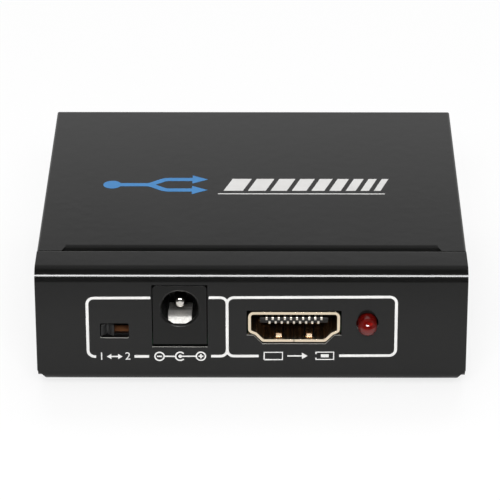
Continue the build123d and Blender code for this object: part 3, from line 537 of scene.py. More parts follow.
tree, shader, place = reopened(paint)
painted_edge_highlight = add_node(tree, "ShaderNodeAttribute", attribute_name="painted_edge_highlight", attribute_type="GEOMETRY").outputs["Fac"]
spot = axes_of(tree, place)
on_rim = add_math(tree, "LESS_THAN", spot["Y"], (front_y + rim_width) * mm)
near_edge = add_math(tree, "COMPARE", spot["Y"], (front_y + lip_length + 0.13) * mm, 0.2 * mm)
near_roof = add_math(tree, "GREATER_THAN", spot["Z"], (roof_z - 0.3) * mm)
lip_highlight = add_math(tree, "MULTIPLY", near_edge, near_roof)
# Painted highlight: the marked cut faces near the front, and the lip's edge more faintly, get a pale, part
# metallic colour for the light they catch.
highlight_mask = add_math(tree, "MULTIPLY", painted_edge_highlight, on_rim)
highlight_mask = add_math(tree, "MULTIPLY_ADD", lip_highlight, lip_highlight_share, highlight_mask)
feed(
    shader, Base_Color=mix_colour(tree, highlight_mask, source(shader, "Base Color"), highlight_colour),
    Metallic=add_math(tree, "MULTIPLY", highlight_mask, highlight_metallic),
    Roughness=add_math(tree, "MULTIPLY_ADD", highlight_mask, highlight_roughness, source(shader, "Roughness")),
)
print("thin paint ready")

# %% [markdown]
# ## Metals
#
# Plating takes the lines of the metal under it. What differs is their direction: along the
# sheet for the shells, round the axis for the turned pin, and none for cast or dipped
# pieces. Deep in a gilt shell the light has met the gold several times, so it is browner.

# %% Metals
bright_steel = metal("plated_steel", (0.60, 0.585, 0.55), 0.30)
nickel = metal(
    "nickel_pin", (0.70, 0.675, 0.63), 0.16, stretch=(1, 12, 1), scale=900.0, depth=0.002, spread=0.1,
)
gilt = metal("gilt_shell", (0.86, 0.735, 0.555), 0.24, stretch=(0.05, 1, 1), scale=5200.0, depth=0.003)
gold = metal("gold_contact", (0.95, 0.70, 0.36), 0.24, stretch=(1, 0.05, 1), scale=7000.0, depth=0.002)
dull_nickel = metal(
    "dull_nickel", (0.62, 0.61, 0.585), 0.42, stretch=(1, 0.7, 1), scale=3600.0, depth=0.03, dull=0.5,
)
dull_nickel.node_tree.nodes["Principled BSDF"].inputs["Metallic"].default_value = 0.7
contact_tip = metal("contact_plating", (0.84, 0.79, 0.7), 0.3, stretch=(1, 0.2, 1), scale=7000.0, depth=0.002)
tin = metal("tinned_copper", (0.72, 0.70, 0.66), 0.34, stretch=(1, 1, 1), scale=5000.0)
aluminium = metal(
    "can_aluminium", (0.74, 0.74, 0.74), 0.28, stretch=(0.03, 0.03, 1), scale=9000.0, depth=0.002,
)
black_steel = metal("black_screw", (0.045, 0.045, 0.047), 0.36, stretch=(1, 1, 1), scale=4000.0, dull=0.6)

deep_gold = (0.62, 0.33, 0.14)
deep_share = 0.85
deep_start, deep_end = abs(front_y) - 0.5, abs(front_y) - 1.6
tree, shader, place = reopened(gilt)
reach = add_math(tree, "ABSOLUTE", axes_of(tree, place)["Y"])
deep = add_out(tree, "ShaderNodeMapRange", {
    "Value": reach, "From Min": deep_start * mm, "From Max": deep_end * mm, "To Max": deep_share,
})
feed(shader, Base_Color=mix_colour(tree, deep, source(shader, "Base Color"), deep_gold))
print("metals: 9")

# %% [markdown]
# ## Red resin
#
# The lamps are off, so their resin only tints the light that passes through it. It is part
# glass and part milky: the milk gives the dark red body, the glass the small bright points.

# %% Red resin
resin, tree, shader, place = new_finish(
    "red_resin", (0.15, 0.004, 0.003), Roughness=0.07, Transmission_Weight=0.4, IOR=1.5,
)
haze = noise(tree, place, 900.0, 2.0)
feed(shader, Base_Color=mix_colour(tree, haze, (0.12, 0.003, 0.002), (0.19, 0.006, 0.004)))
print("resin ready")

# %% [markdown]
# ## Copies with eased edges
#
# No edge in a real product is perfectly sharp. Paint rounds it, and the rounding catches a
# thin line of light. The CAD's meshes are loose triangles, so a copy of each is merged and
# its flat faces are joined first. Then a Bevel works only on the true corners. The new
# narrow faces are remembered in an attribute called edge, which the wear group reads.

# %% Piece helpers
def finish_piece(piece, finish, *replaced, body="chassis", slot=None):
    """Gives a piece its material and body, and hides the CAD nodes that it stands for."""
    piece.data.materials.clear()
    piece.data.materials.append(finish)
    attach(piece, body)
    if replaced:
        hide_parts(*replaced)
    return piece


def applied(piece):
    """Turns a piece's modifiers into plain mesh."""
    bpy.context.view_layer.update()
    graph = bpy.context.evaluated_depsgraph_get()
    mesh = bpy.data.meshes.new_from_object(
        piece.evaluated_get(graph), preserve_all_data_layers=True, depsgraph=graph,
    )
    piece.modifiers.clear()
    old = piece.data
    piece.data = mesh
    bpy.data.meshes.remove(old)
    mesh.name = piece.name
    return piece


def smooth(mesh, angle=35.0):
    """Shades a mesh smooth, except across corners sharper than the angle."""
    mesh.polygons.foreach_set("use_smooth", [True] * len(mesh.polygons))
    mesh.set_sharp_from_angle(angle=math.radians(angle))
    mesh.update()


def add_bevel(piece, width, angle):
    """A Bevel for the corners above the angle; width in millimetres."""
    bevel = piece.modifiers.new("ease", "BEVEL")
    bevel.width = width * mm
    bevel.segments = 2
    bevel.limit_method = "ANGLE"
    bevel.angle_limit = math.radians(angle)
    return bevel


def eased(node, width, change=None, carve=None):
    """A copy of a CAD node with rounded corners; width is in millimetres."""
    build = bmesh.new()
    build.from_mesh(nodes[node].data)
    bmesh.ops.remove_doubles(build, verts=build.verts, dist=0.002 * mm)
    bmesh.ops.dissolve_limit(build, angle_limit=math.radians(0.4), verts=build.verts, edges=build.edges)
    if change:
        change(build)
    mesh = mesh_from(build, node)
    for layer in ("custom_normal", "sharp_edge", "sharp_face"):
        if layer in mesh.attributes:
            mesh.attributes.remove(mesh.attributes[layer])
    mesh.materials.clear()
    mesh.polygons.foreach_set("material_index", [0] * len(mesh.polygons))
    mesh.polygons.foreach_set("use_smooth", [True] * len(mesh.polygons))
    for _ in range(2):
        mesh.materials.append(paint)
    piece = new_object(f"{node}_eased", mesh)
    if carve:
        carve(piece)
    bevel = add_bevel(piece, width, 30.0)
    bevel.miter_outer = "MITER_ARC"
    bevel.material = 1
    normals = piece.modifiers.new("flat", "WEIGHTED_NORMAL")
    normals.keep_sharp = True
    applied(piece)
    marks = [float(face.material_index) for face in piece.data.polygons]
    piece.data.attributes.new("edge", "FLOAT", "FACE").data.foreach_set("value", marks)
    piece.data.polygons.foreach_set("material_index", [0] * len(piece.data.polygons))
    return piece


def finish_copy(node, width, finish, slot, body="chassis", **changes):
    """The eased copy of a CAD node, with its finish."""
    return finish_piece(eased(node, width, **changes), finish, node, body=body, slot=slot)


def add_prism(build, low, high):
    """A solid between two outlines of as many points."""
    low, high = ([build.verts.new(point) for point in end] for end in (low, high))
    build.faces.new(high)
    build.faces.new(low[::-1])
    for i in range(len(low)):
        j = (i + 1) % len(low)
        build.faces.new((low[i], low[j], high[j], high[i]))


print("piece helpers ready")

# %% [markdown]
# ## The case
#
# The case is two bent steel sheets: a tray with a lip over the front of the top, and a
# cover that slips under that lip. Both come from the CAD's own sheets. The cover's top is
# lowered by two hundredths of a millimetre, the thickness of the ink that lies on it. A
# stepped relief is cut where the front's bend ends, as the bending tool needs one there.

# %% Case
ink = 0.02
case_ease = 0.13
lip_y = front_y + lip_length
relief_start, relief_end = front_y - 1.0, front_y + 2.7
openings_reach, openings_low, openings_high = 27.0, 7.5, 19.0
panel_back = front_y + 1.05
relief_outline = [
    (2.2, -1.0), (1.42, 0.2), (1.14, 0.84), (0.69, 1.5), (0.15, 1.9), (0.0, 2.25), (-1.0, 2.35), (-1.0, -1.0),
]


def lower_top(build):
    """Makes room for the ink on the top face."""
    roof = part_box("top_cover")[1].z
    for corner in build.verts:
        if corner.co.z > roof - 0.001 * mm:
            corner.co.z -= ink * mm


def stretch_lip(build):
    """The rolled edge of the lip reaches a little further back."""
    for corner in build.verts:
        spot = corner.co / mm
        if spot.z > roof_z - 1.3 and lip_y - 1.5 < spot.y < lip_y + 1.5:
            corner.co.y += lip_stretch * mm


def cut_corners(piece):
    """Cuts the relief at both lower corners of the front panel."""
    for way in (-1, 1):
        build = bmesh.new()
        add_prism(build, *([
            (way * (side_x - u) * mm, y * mm, (floor_z + v) * mm) for u, v in relief_outline
        ] for y in (relief_start, relief_end)))
        bmesh.ops.recalc_face_normals(build, faces=build.faces)
        cutter = new_object("relief", mesh_from(build, "relief"))
        cut = piece.modifiers.new("relief", "BOOLEAN")
        cut.operation = "DIFFERENCE"
        cut.object = cutter
        cut.solver = "EXACT"
        applied(piece)
        bpy.data.objects.remove(cutter)


def mark_highlight_faces(piece):
    """Marks the cut faces under the front openings, which get a painted highlight line."""
    marks = []
    for face in piece.data.polygons:
        spot = face.center / mm
        in_openings = abs(spot.x) < openings_reach and openings_low < spot.z < openings_high
        upwards_cut = spot.y < panel_back and face.normal.z > 0.3
        marks.append(1.0 if in_openings and upwards_cut else 0.0)
    piece.data.attributes.new("painted_edge_highlight", "FLOAT", "FACE").data.foreach_set("value", marks)


tray = finish_copy("base_tray", case_ease, paint, "case_paint", change=stretch_lip, carve=cut_corners)
mark_highlight_faces(tray)
cover = finish_copy("top_cover", case_ease, paint, "case_paint", change=lower_top)
print("case faces:", len(tray.data.polygons), len(cover.data.polygons))

# %% [markdown]
# ## Bent strips as Geometry Nodes
#
# Printed lines, contacts and chip leads have one thing in common: a flat strip follows a
# path. One tree makes them all. It rounds the corners of the path, sweeps a flat section
# along it, and sets the result in rows and round a centre.

# %% Strip tree
def run_tree(piece, tree, values):
    """Adds the tree to the piece, sets its inputs by their identifiers, and applies it."""
    modifier = piece.modifiers.new(tree.name, "NODES")
    modifier.node_group = tree
    sockets = {item.name: item.identifier for item in tree.interface.items_tree if item.in_out == "INPUT"}
    for label, value in values.items():
        modifier[sockets[label]] = value
    return applied(piece)


def end_tree(tree, shape, given, out):
    """Makes the instances real and sets the finish."""
    whole = add_out(tree, "GeometryNodeRealizeInstances", {"Geometry": shape})
    values = {"Geometry": whole, "Material": given["Finish"]}
    feed(out, Geometry=add_out(tree, "GeometryNodeSetMaterial", values))


def vector_of(tree, **parts):
    return add_out(tree, "ShaderNodeCombineXYZ", parts)


def centred_line(tree, count, pitch):
    """Points in a row, centred on the origin."""
    half = add_math(tree, "MULTIPLY", add_math(tree, "SUBTRACT", count, 1.0), -0.5)
    start = vector_math(tree, "SCALE", {0: pitch, "Scale": half})
    return add_out(tree, "GeometryNodeMeshLine", {"Count": count, "Start Location": start, "Offset": pitch})


geometry = "NodeSocketGeometry"
strip_tree, given, out = new_tree(
    "bent_strips", "GeometryNodeTree",
    {"Geometry": geometry, "In Plane": 0.001, "Along Facing": 0.0001, "Bend": 0.0, "Facing": upwards,
     "Count": 1, "Pitch": 0.0, "Turns": 1, "Place": origin, "Finish": "NodeSocketMaterial"},
    {"Geometry": geometry},
)
path = add_out(strip_tree, "GeometryNodeMeshToCurve", {"Mesh": given["Geometry"]})
path = add_out(strip_tree, "GeometryNodeFilletCurve", {
    "Curve": path, "Count": 5, "Radius": given["Bend"], "Limit Radius": True,
}, mode="POLY")
path = add_out(strip_tree, "GeometryNodeSetCurveNormal", {
    "Curve": path, "Normal": given["Facing"],
}, mode="FREE")
section = add_out(strip_tree, "GeometryNodeCurvePrimitiveQuadrilateral", {
    "Width": given["Along Facing"], "Height": given["In Plane"],
})
thinner = add_math(strip_tree, "MINIMUM", given["Along Facing"], given["In Plane"])
section = add_out(strip_tree, "GeometryNodeFilletCurve", {
    "Curve": section, "Count": 1, "Radius": add_math(strip_tree, "MULTIPLY", thinner, 0.2),
}, mode="POLY")
strip = add_out(strip_tree, "GeometryNodeCurveToMesh", {
    "Curve": path, "Profile Curve": section, "Fill Caps": True,
})
pitch = vector_of(strip_tree, X=given["Pitch"])
row = add_out(strip_tree, "GeometryNodeInstanceOnPoints", {
    "Points": centred_line(strip_tree, given["Count"], pitch), "Instance": strip,
})
spots = add_out(strip_tree, "GeometryNodeMeshLine", {"Count": given["Turns"], "Offset": origin})
number = add_out(strip_tree, "GeometryNodeInputIndex")
share = add_math(strip_tree, "DIVIDE", 2 * math.pi, given["Turns"])
angle = vector_of(strip_tree, Z=add_math(strip_tree, "MULTIPLY", number, share))
rows = add_out(strip_tree, "GeometryNodeInstanceOnPoints", {
    "Points": spots, "Instance": row, "Rotation": angle,
})
moved = add_out(strip_tree, "GeometryNodeTransform", {"Geometry": rows, "Translation": given["Place"]})
end_tree(strip_tree, moved, given, out)


def strips(name, paths, in_plane, along_facing, finish, bend=0.0, facing=upwards, place=origin, **rows):
    """Strips along paths in millimetres, with their size in the path's plane and along facing."""
    points, edges = [], []
    for line in paths:
        edges += [(len(points) + i, len(points) + i + 1) for i in range(len(line) - 1)]
        points += [Vector(point) * mm for point in line]
    mesh = bpy.data.meshes.new(name)
    mesh.from_pydata(points, edges, [])
    piece = run_tree(new_object(name, mesh), strip_tree, {
        "In Plane": in_plane * mm, "Along Facing": along_facing * mm, "Bend": bend * mm, "Facing": facing,
        "Place": [x * mm for x in place], "Finish": finish, **rows,
    })
    smooth(piece.data)
    return piece


print("strip tree:", len(strip_tree.nodes), "nodes")

# %% [markdown]
# ## Flat shapes
#
# The real print is a thin layer of ink. Each mark is drawn flat, along a path for a line,
# or as an outline for a filled shape, and then laid on its panel by one matrix. The marks
# are a real layer, two hundredths of a millimetre thick, so that they also show in a close
# view. Where lines cross, each lies a hair higher than the last, so that none share a face.

# %% Flat shapes
ink_step = 0.0003
print_tilt = 0.0054
digit_share = 0.69


def filled(name, outlines, finish):
    """Filled shapes from outlines of (right, up) points in millimetres, one layer of ink thick."""
    build = bmesh.new()
    for outline in outlines:
        add_prism(build, *([(u * mm, v * mm, height * mm) for u, v in outline] for height in (0.0, ink)))
    mesh = mesh_from(build, name)
    mesh.materials.append(finish)
    return new_object(name, mesh)


def circle(u, v, radius, steps=28):
    turns = [2 * math.pi * i / steps for i in range(steps)]
    return [(u + radius * math.cos(t), v + radius * math.sin(t)) for t in turns]


def rounding(u, v, radius, start, end, steps=5):
    """Points of an arc; angles in degrees, from its centre."""
    turns = [math.radians(start + (end - start) * i / steps) for i in range(steps + 1)]
    return [(u + radius * math.cos(t), v + radius * math.sin(t)) for t in turns]


def lines(name, paths, width, finish, bend=0.0, first=0):
    """Printed lines along flat paths."""
    raised = []
    for number, path in enumerate(paths, first):
        raised.append([(*point[:2], ink / 2 + number * ink_step) for point in path])
    return strips(name, raised, width, ink, finish, bend=bend)


def numeral(body, u, v, height, finish):
    """A plain number, centred on a point."""
    curve = bpy.data.curves.new("numeral", "FONT")
    curve.body = body
    curve.size = height / digit_share * mm
    curve.align_x = "CENTER"
    curve.align_y = "CENTER"
    curve.extrude = ink / 2 * mm
    drawn = new_object("numeral", curve)
    bpy.context.view_layer.update()
    mesh = bpy.data.meshes.new_from_object(drawn)
    bpy.data.objects.remove(drawn)
    centre = sum((Vector(vertex.co) for vertex in mesh.vertices), Vector()) / len(mesh.vertices)
    mesh.transform(Matrix.Translation((u * mm - centre.x * 0.5, v * mm, ink / 2 * mm)))
    mesh.materials.clear()
    mesh.materials.append(finish)
    return new_object("numeral", mesh)


def joined(name, pieces, matrix=None):
    """One piece from several, moved by a matrix."""
    build = bmesh.new()
    for piece in pieces:
        build.from_mesh(piece.data)
    finish = pieces[0].data.materials[0]
    for piece in pieces:
        bpy.data.objects.remove(piece)
    mesh = mesh_from(build, name)
    if matrix:
        mesh.transform(matrix)
    mesh.materials.append(finish)
    mesh.polygons.foreach_set("material_index", [0] * len(mesh.polygons))
    return new_object(name, mesh)


front_panel = Matrix(((1, 0, 0, 0), (0, 0, -1, front_y * mm), (print_tilt, 1, 0, 0), (0, 0, 0, 1)))
rear_panel = Matrix(((-1, 0, 0, 0), (0, 0, 1, rear_y * mm), (0, 1, 0, 0), (0, 0, 0, 1)))
top_panel = Matrix(((1, 0, 0, 0), (0, 1, 0, front_y * mm), (0, 0, 1, (roof_z - ink) * mm), (0, 0, 0, 1)))
print("flat shapes ready")

# %% [markdown]
# ## Print on the front
#
# Two rounded frames group the fittings. Their bottom line leaves gaps for plain marks: the
# numbers of the switch's two places, the poles of the power plug, and a plug with an arrow
# into its receptacle. The print runs a third of a degree off, as it does on the real box.

# %% Front print
frame_top, frame_bottom = 17.67, 6.915
frame_left, frame_middle, frame_right = -26.8, -3.95, 23.65
frame_bend = 1.1
line_width = 0.47
mark_width = 0.24
mark_height = 1.35
half = mark_height / 2
low = frame_bottom
jack_edge = 4.75


def box_frame(left, right, gaps):
    """A rounded frame whose bottom line leaves gaps for marks, as separate paths."""
    paths = []
    start = (left, (frame_top + frame_bottom) / 2)
    path = [start, (left, frame_top), (right, frame_top), (right, frame_bottom)]
    for gap_left, gap_right in sorted(gaps, reverse=True):
        paths.append([*path, (gap_right, frame_bottom)])
        path = [(gap_left, frame_bottom)]
    return [*paths, [*path, (left, frame_bottom), start]]


def plug_poles(u, v):
    """Minus, open ring with its centre, plus: the centre of the plug is positive."""
    radius = mark_height * 0.56
    reach = 3.4
    arm = 0.4
    return [
        *(rounding(*ring, 18) for ring in (
            (u - reach, v, radius, 0, 360), (u + reach, v, radius, 0, 360), (u, v, radius, 40, 320),
        )),
        [(u - reach - arm, v), (u - reach + arm, v)], [(u + reach - arm, v), (u + reach + arm, v)],
        [(u + reach, v - arm), (u + reach, v + arm)], [(u - reach + radius, v), (u - radius, v)],
        [(u, v), (u + reach - radius, v)],
    ]


def arrow_head(u, v, size, way=1):
    return [(u, v - size / 2), (u + way * size * 0.8, v), (u, v + size / 2)]


def open_box(open_side, far_side):
    """A receptacle's sign: a box with a gap in one side."""
    gap = 0.35
    return [
        (open_side, low + gap), (open_side, low + half), (far_side, low + half),
        (far_side, low - half), (open_side, low - half), (open_side, low - gap),
    ]


left_frame = [
    [(jack_x - jack_edge, frame_top), (frame_left, frame_top), (frame_left, low), (-25.5, low)],
    [(jack_x + jack_edge, frame_top), (frame_middle, frame_top), (frame_middle, low), (-6.6, low)],
    [(-19.2, low), (-16.8, low)],
]
right_frame = box_frame(frame_middle, frame_right, [(1.2, 14.4)])
frames = lines("frames", left_frame + right_frame, line_width, print_white, bend=frame_bend)
thin = lines("thin_marks", plug_poles(jack_x, low) + [
    [(-23.3, low), (-21.6, low)],
    [(2.1, low - half), (2.1, low + half), (5.1, low + half), (5.1, low - half), (2.1, low - half)],
    [(5.9, low), (8.6, low)],
    open_box(10.6, 13.5),
], mark_width, print_white, first=10)
solid = filled("solid_marks", [
    circle(jack_x, low, 0.3), arrow_head(-21.9, low, 0.95), arrow_head(-23.0, low, 0.95, -1),
    arrow_head(8.3, low, 1.15),
    [(11.4, low - 0.28), (12.7, low - 0.28), (12.7, low + 0.28), (11.4, low + 0.28)],
], print_white)
digits = [numeral(body, u, low, mark_height, print_white) for body, u in (("1", -24.6), ("2", -20.3))]
front_print = finish_piece(joined("front_print", [frames, thin, solid, *digits], front_panel), print_white)
print("front print faces:", len(front_print.data.polygons))

# %% [markdown]
# ## Print on the back
#
# The back isn't in the photograph. It gets the same kind of frames, one round each output,
# with an arrow out of a receptacle and the output's number.

# %% Rear print
rear_paths = box_frame(-27.6, 0.0, [(-18.9, -10.2)]) + box_frame(0.0, 27.6, [(8.7, 17.4)])
frames = lines("frames", rear_paths, line_width, print_white, bend=frame_bend)
thin_paths, outlines, digits = [], [], []
for number, middle in (("1", -14.5), ("2", 13.1)):
    thin_paths += [open_box(middle - 1.1, middle - 3.3), [(middle - 2.2, low), (middle + 0.7, low)]]
    outlines.append(arrow_head(middle + 0.4, low, 1.15))
    digits.append(numeral(number, middle + 2.8, low, mark_height, print_white))
thin = lines("thin_marks", thin_paths, mark_width, print_white, first=10)
solid = filled("solid_marks", outlines, print_white)
rear_print = finish_piece(joined("rear_print", [frames, thin, solid, *digits], rear_panel), print_white)
print("rear print faces:", len(rear_print.data.polygons))

# %% [markdown]
# ## Print on the top
#
# One blue line divides into two arrows, which is what this box does. Slanted white bars
# that grow thinner, over a thin rule, take the room that words have on the real one.

# %% Top print
row_low, row_high = 30.9, 35.7
middle = (row_low + row_high) / 2
spread = 2.15
fork_path = [(-20.5, 0.0), (-17.6, 0.0), (-14.9, spread), (-9.9, spread)]
branch = [[(-24.0, middle), (-18.6, middle)]]
branch += [[(u, middle + way * v) for u, v in fork_path] for way in (1, -1)]
blue_lines = lines("blue_lines", branch, 1.25, print_blue, bend=1.8, first=1)
blue_shapes = filled("blue_shapes", [
    circle(-24.0, middle, 1.55, 40), *(arrow_head(-10.3, middle + way * spread, 3.3) for way in (1, -1)),
], print_blue)
finish_piece(joined("top_blue_print", [blue_lines, blue_shapes], top_panel), print_blue)
bars = []
left = -4.9
slant = 1.5
for i in range(9):
    right = left + 3.3 - 0.27 * i
    bars.append([(left, row_low), (right, row_low), (right + slant, row_high), (left + slant, row_high)])
    left = right + 0.85
rule_end = left + slant - 1.7
rule = [(-5.9, 29.5), (rule_end, 29.5), (rule_end + 0.1, 29.8), (-5.8, 29.8)]
finish_piece(joined("top_white_print", [filled("bars", [*bars, rule], print_white)], top_panel), print_white)
print("top print reaches", round(left + slant, 2))

# %% [markdown]
# ## Turned pieces
#
# Screws, feet, the power pin and the lamps are round. A Screw modifier could turn them,
# but a few lines of code keep both ends closed. So a turned piece is a profile, point by
# point, carried round an axis. A small tree cuts the cross for the screwdriver: two crossed
# bars are taken away from the head, and the new edges are eased.

# %% Turned pieces
def turned(name, profile, finish, steps=48):
    """A closed shape from (radius, height) points in millimetres, round the Z axis."""
    build = bmesh.new()
    turns = [2 * math.pi * i / steps for i in range(steps)]
    rings = []
    for radius, height in profile:
        reach = [(radius * mm * math.cos(t), radius * mm * math.sin(t)) for t in turns]
        ring = reach if radius > 1e-6 else [(0.0, 0.0)]
        rings.append([build.verts.new((x, y, height * mm)) for x, y in ring])
    for below, above in zip(rings, rings[1:]):
        for i in range(steps):
            j = (i + 1) % steps
            if len(below) == 1:
                build.faces.new((below[0], above[j], above[i]))
            elif len(above) == 1:
                build.faces.new((below[i], below[j], above[0]))
            else:
                build.faces.new((below[i], below[j], above[j], above[i]))
    bmesh.ops.recalc_face_normals(build, faces=build.faces)
    mesh = mesh_from(build, name)
    mesh.materials.append(finish)
    smooth(mesh)
    return new_object(name, mesh)


recess_tree, given, out = new_tree(
    "cross_recess", "GeometryNodeTree",
    {"Geometry": geometry, "Span": 0.0026, "Slot": 0.0006, "Depth": 0.0007, "Finish": "NodeSocketMaterial"},
    {"Geometry": geometry},
)
deep = add_math(recess_tree, "MULTIPLY", given["Depth"], 2.0)
size = vector_of(recess_tree, X=given["Span"], Y=given["Slot"], Z=deep)
bar = add_out(recess_tree, "GeometryNodeMeshCube", {"Size": size})
crossed = add_out(recess_tree, "GeometryNodeTransform", {"Geometry": bar, "Rotation": (0, 0, math.pi / 2)})
cut = add_node(recess_tree, "GeometryNodeMeshBoolean", operation="DIFFERENCE")
for socket, solid in (("Mesh 1", given["Geometry"]), ("Mesh 2", bar), ("Mesh 2", crossed)):
    recess_tree.links.new(solid, cut.inputs[socket])
end_tree(recess_tree, cut.outputs[0], given, out)


def with_recess(piece, finish, span=2.6, slot=0.6, depth=0.7, ease=0.06):
    """Cuts the cross, then eases the new edges; sizes in millimetres."""
    sizes = {"Span": span * mm, "Slot": slot * mm, "Depth": depth * mm}
    run_tree(piece, recess_tree, {**sizes, "Finish": finish})
    add_bevel(piece, ease, 40.0)
    smooth(applied(piece).data)


print("recess tree:", len(recess_tree.nodes), "nodes")

# %% [markdown]
# ## Copies in a grid as Geometry Nodes
#
# A second tree sets copies in a grid, leans them outwards, and gives each a turn of its
# own from a fixed seed, because no two screws stop at the same angle.

# %% Grid tree
grid_tree, given, out = new_tree(
    "copies_in_a_grid", "GeometryNodeTree",
    {"Geometry": geometry, "Across": 2, "Along": 2, "Pitch Across": 0.01, "Pitch Along": 0.01, "Lean": 0.0,
     "Spin": 0.0, "Seed": 3, "Place": origin, "Finish": "NodeSocketMaterial"},
    {"Geometry": geometry},
)
row = centred_line(grid_tree, given["Across"], vector_of(grid_tree, X=given["Pitch Across"]))
column = centred_line(grid_tree, given["Along"], vector_of(grid_tree, Y=given["Pitch Along"]))
spots = add_out(grid_tree, "GeometryNodeInstanceOnPoints", {"Points": row, "Instance": column})
spots = add_out(grid_tree, "GeometryNodeRealizeInstances", {"Geometry": spots})
spot = axes_of(grid_tree, add_out(grid_tree, "GeometryNodeInputPosition"))
way = add_math(grid_tree, "SIGN", spot["X"])
lean = vector_of(grid_tree, Y=add_math(grid_tree, "MULTIPLY", way, given["Lean"]))
copies = add_out(grid_tree, "GeometryNodeInstanceOnPoints", {
    "Points": spots, "Instance": given["Geometry"], "Rotation": lean,
})
least = add_math(grid_tree, "MULTIPLY", given["Spin"], -1.0)
chance = add_node(grid_tree, "FunctionNodeRandomValue", {
    2: least, 3: given["Spin"], "Seed": given["Seed"],
}, data_type="FLOAT").outputs[1]
copies = add_out(grid_tree, "GeometryNodeRotateInstances", {
    "Instances": copies, "Rotation": vector_of(grid_tree, Z=chance), "Local Space": True,
})
copies = add_out(grid_tree, "GeometryNodeTransform", {"Geometry": copies, "Translation": given["Place"]})
end_tree(grid_tree, copies, given, out)


def in_grid(piece, finish, pitch_across, pitch_along, height, lean=0.0, spin=0.0, seed=3):
    """Two by two copies of a piece; pitches and height in millimetres, angles in degrees."""
    run_tree(piece, grid_tree, {
        "Across": 2, "Along": 2, "Pitch Across": pitch_across * mm, "Pitch Along": pitch_along * mm,
        "Lean": math.radians(lean), "Spin": math.radians(spin), "Seed": seed,
        "Place": (0.0, 0.0, height * mm), "Finish": finish,
    })


print("grid tree:", len(grid_tree.nodes), "nodes")

# %% [markdown]
# ## Screws and feet
#
# Four countersunk black screws hold the cover, two in each side, and four bright ones with
# round heads hold the board. The feet are rubber, with a rounded rim and a slight hollow
# below, so that they grip the table. Each kind is turned once and set out by the grid.

# %% Screws and feet
pan_height = 2.0

screw = turned("cover_screws_set", [
    (0.0, -4.0), (1.3, -4.0), (1.5, -3.8), (1.5, -1.0), (2.42, -0.08), *rounding(2.42, -0.06, 0.06, 0, 90, 3),
    (0.0, 0.0),
], black_steel)
with_recess(screw, black_steel)
in_grid(screw, black_steel, 70.5, 36.0, 12.5, lean=90.0, spin=45.0, seed=7)
finish_piece(screw, black_steel, "cover_screws", slot="black_screw")

pan = turned("board_screws_set", [
    (0.0, -5.5), (1.3, -5.5), (1.5, -5.3), (1.5, 0.0), (2.75, 0.0), (2.75, 1.2),
    *rounding(1.95, 1.2, 0.8, 0, 90, 6), (0.0, pan_height),
], bright_steel)
pan.data.transform(shift(0, 0, -pan_height))
with_recess(pan, bright_steel)
in_grid(pan, bright_steel, 57.0, 45.5, board_z + pan_height, spin=45.0, seed=11)
finish_piece(pan, bright_steel, "board_screws", slot="plated_steel")

foot = turned("rubber_feet_set", [
    (0.0, 0.12), (2.3, 0.08), (2.9, 0.0), (3.25, 0.0), *rounding(3.25, 0.38, 0.38, -90, -8), (3.97, 1.9),
    (3.9, 2.0), (0.0, 2.0),
], rubber)
in_grid(foot, rubber, 42.5, 44.5, 0.0)
finish_piece(foot, rubber, "rubber_feet", slot="foot_rubber")
print("screws and feet:", len(screw.data.polygons), len(pan.data.polygons), len(foot.data.polygons))

# %% [markdown]
# ## Power jack
#
# The jack is a black nylon block with a bore. Its pin is turned and nickel plated, with a
# domed tip, and a bowed leaf lies under it. The block is an eased copy. The leaf is a bent
# strip. The pin is turned, because a mirror-like round needs more steps than the CAD's
# mesh has.

# %% Power jack
pin_depth = 1.9
blade_depth = 13.5
blade_sheet, blade_width = 0.4, 2.4
leaf_sheet, leaf_width = 0.3, 3.9
leaf_path = [(0.4, -2.98), (1.35, -1.98), (2.5, -1.78), (5.6, -2.95), (8.9, -3.3), (8.9, -8.9)]

finish_copy("jack_housing", 0.07, jack_plastic, "jack_plastic")
leaf_points = [(jack_x, front_y + back, jack_z + up) for back, up in leaf_path]
leaf = strips("leaf", [leaf_points], leaf_sheet, leaf_width, dull_nickel, bend=0.9, facing=along_x)
leaf = joined("jack_leaf", [leaf])
smooth(leaf.data)
finish_piece(leaf, dull_nickel, "jack_sleeve_spring", slot="plated_steel")
finish_copy("jack_switch_contact", 0.05, tin, "tinned_copper")

pin = turned("pin_round", [
    (0.0, 0.0), *rounding(0.32, 0.68, 0.68, -90, 0, 9), (1.0, 1.2), (1.0, 7.6), (1.38, 7.6), (1.4, 7.62),
    (1.4, 11.4), (0.0, 11.4),
], nickel, steps=64)
pin.data.transform(shift(jack_x, front_y + pin_depth, jack_z) @ Matrix.Rotation(math.radians(-90), 4, "X"))
blade_path = [(jack_x, front_y + blade_depth, height) for height in (6.5, 16.85)]
blade = strips("pin_blade", [blade_path], blade_sheet, blade_width, nickel, facing=along_x)
pin = joined("jack_centre_pin_turned", [pin, blade])
smooth(pin.data)
finish_piece(pin, nickel, "jack_centre_pin", slot="plated_steel")
print("jack: block, leaf, contact, pin")

# %% [markdown]
# ## Video receptacles
#
# Three receptacles of one kind: a rolled shell, a black moulding with a tongue, and nineteen contacts, ten
# above and nine below, half a step apart. The contacts come from the strip tree, in one row each, and both
# rows are then carried to each receptacle. So are the bumps of the two sprung fingers, and a black pad under
# their slits, a painted shade that hides the board behind them.

# %% Receptacles
tongue_high, tongue_low = 3.95, 2.90
tongue_front, tongue_back, lead_end = 1.84, 10.31, 11.97
contact_height, contact_width, contact_lift = 0.12, 0.35, 0.06
contact_pitch = 1.0
tip_height = 0.4
finger_height, finger_width, finger_pitch = 0.16, 0.95, 5.0
shade_pad_lift = 0.2
shade_pad_outline = [(-5.0, 0.6), (5.0, 0.6), (5.0, 11.0), (-5.0, 11.0)]
finger_path = [(0, 0.85, 0.9), (0, 1.25, 1.36), (0, 1.7, 1.42), (0, 4.6, 0.98)]


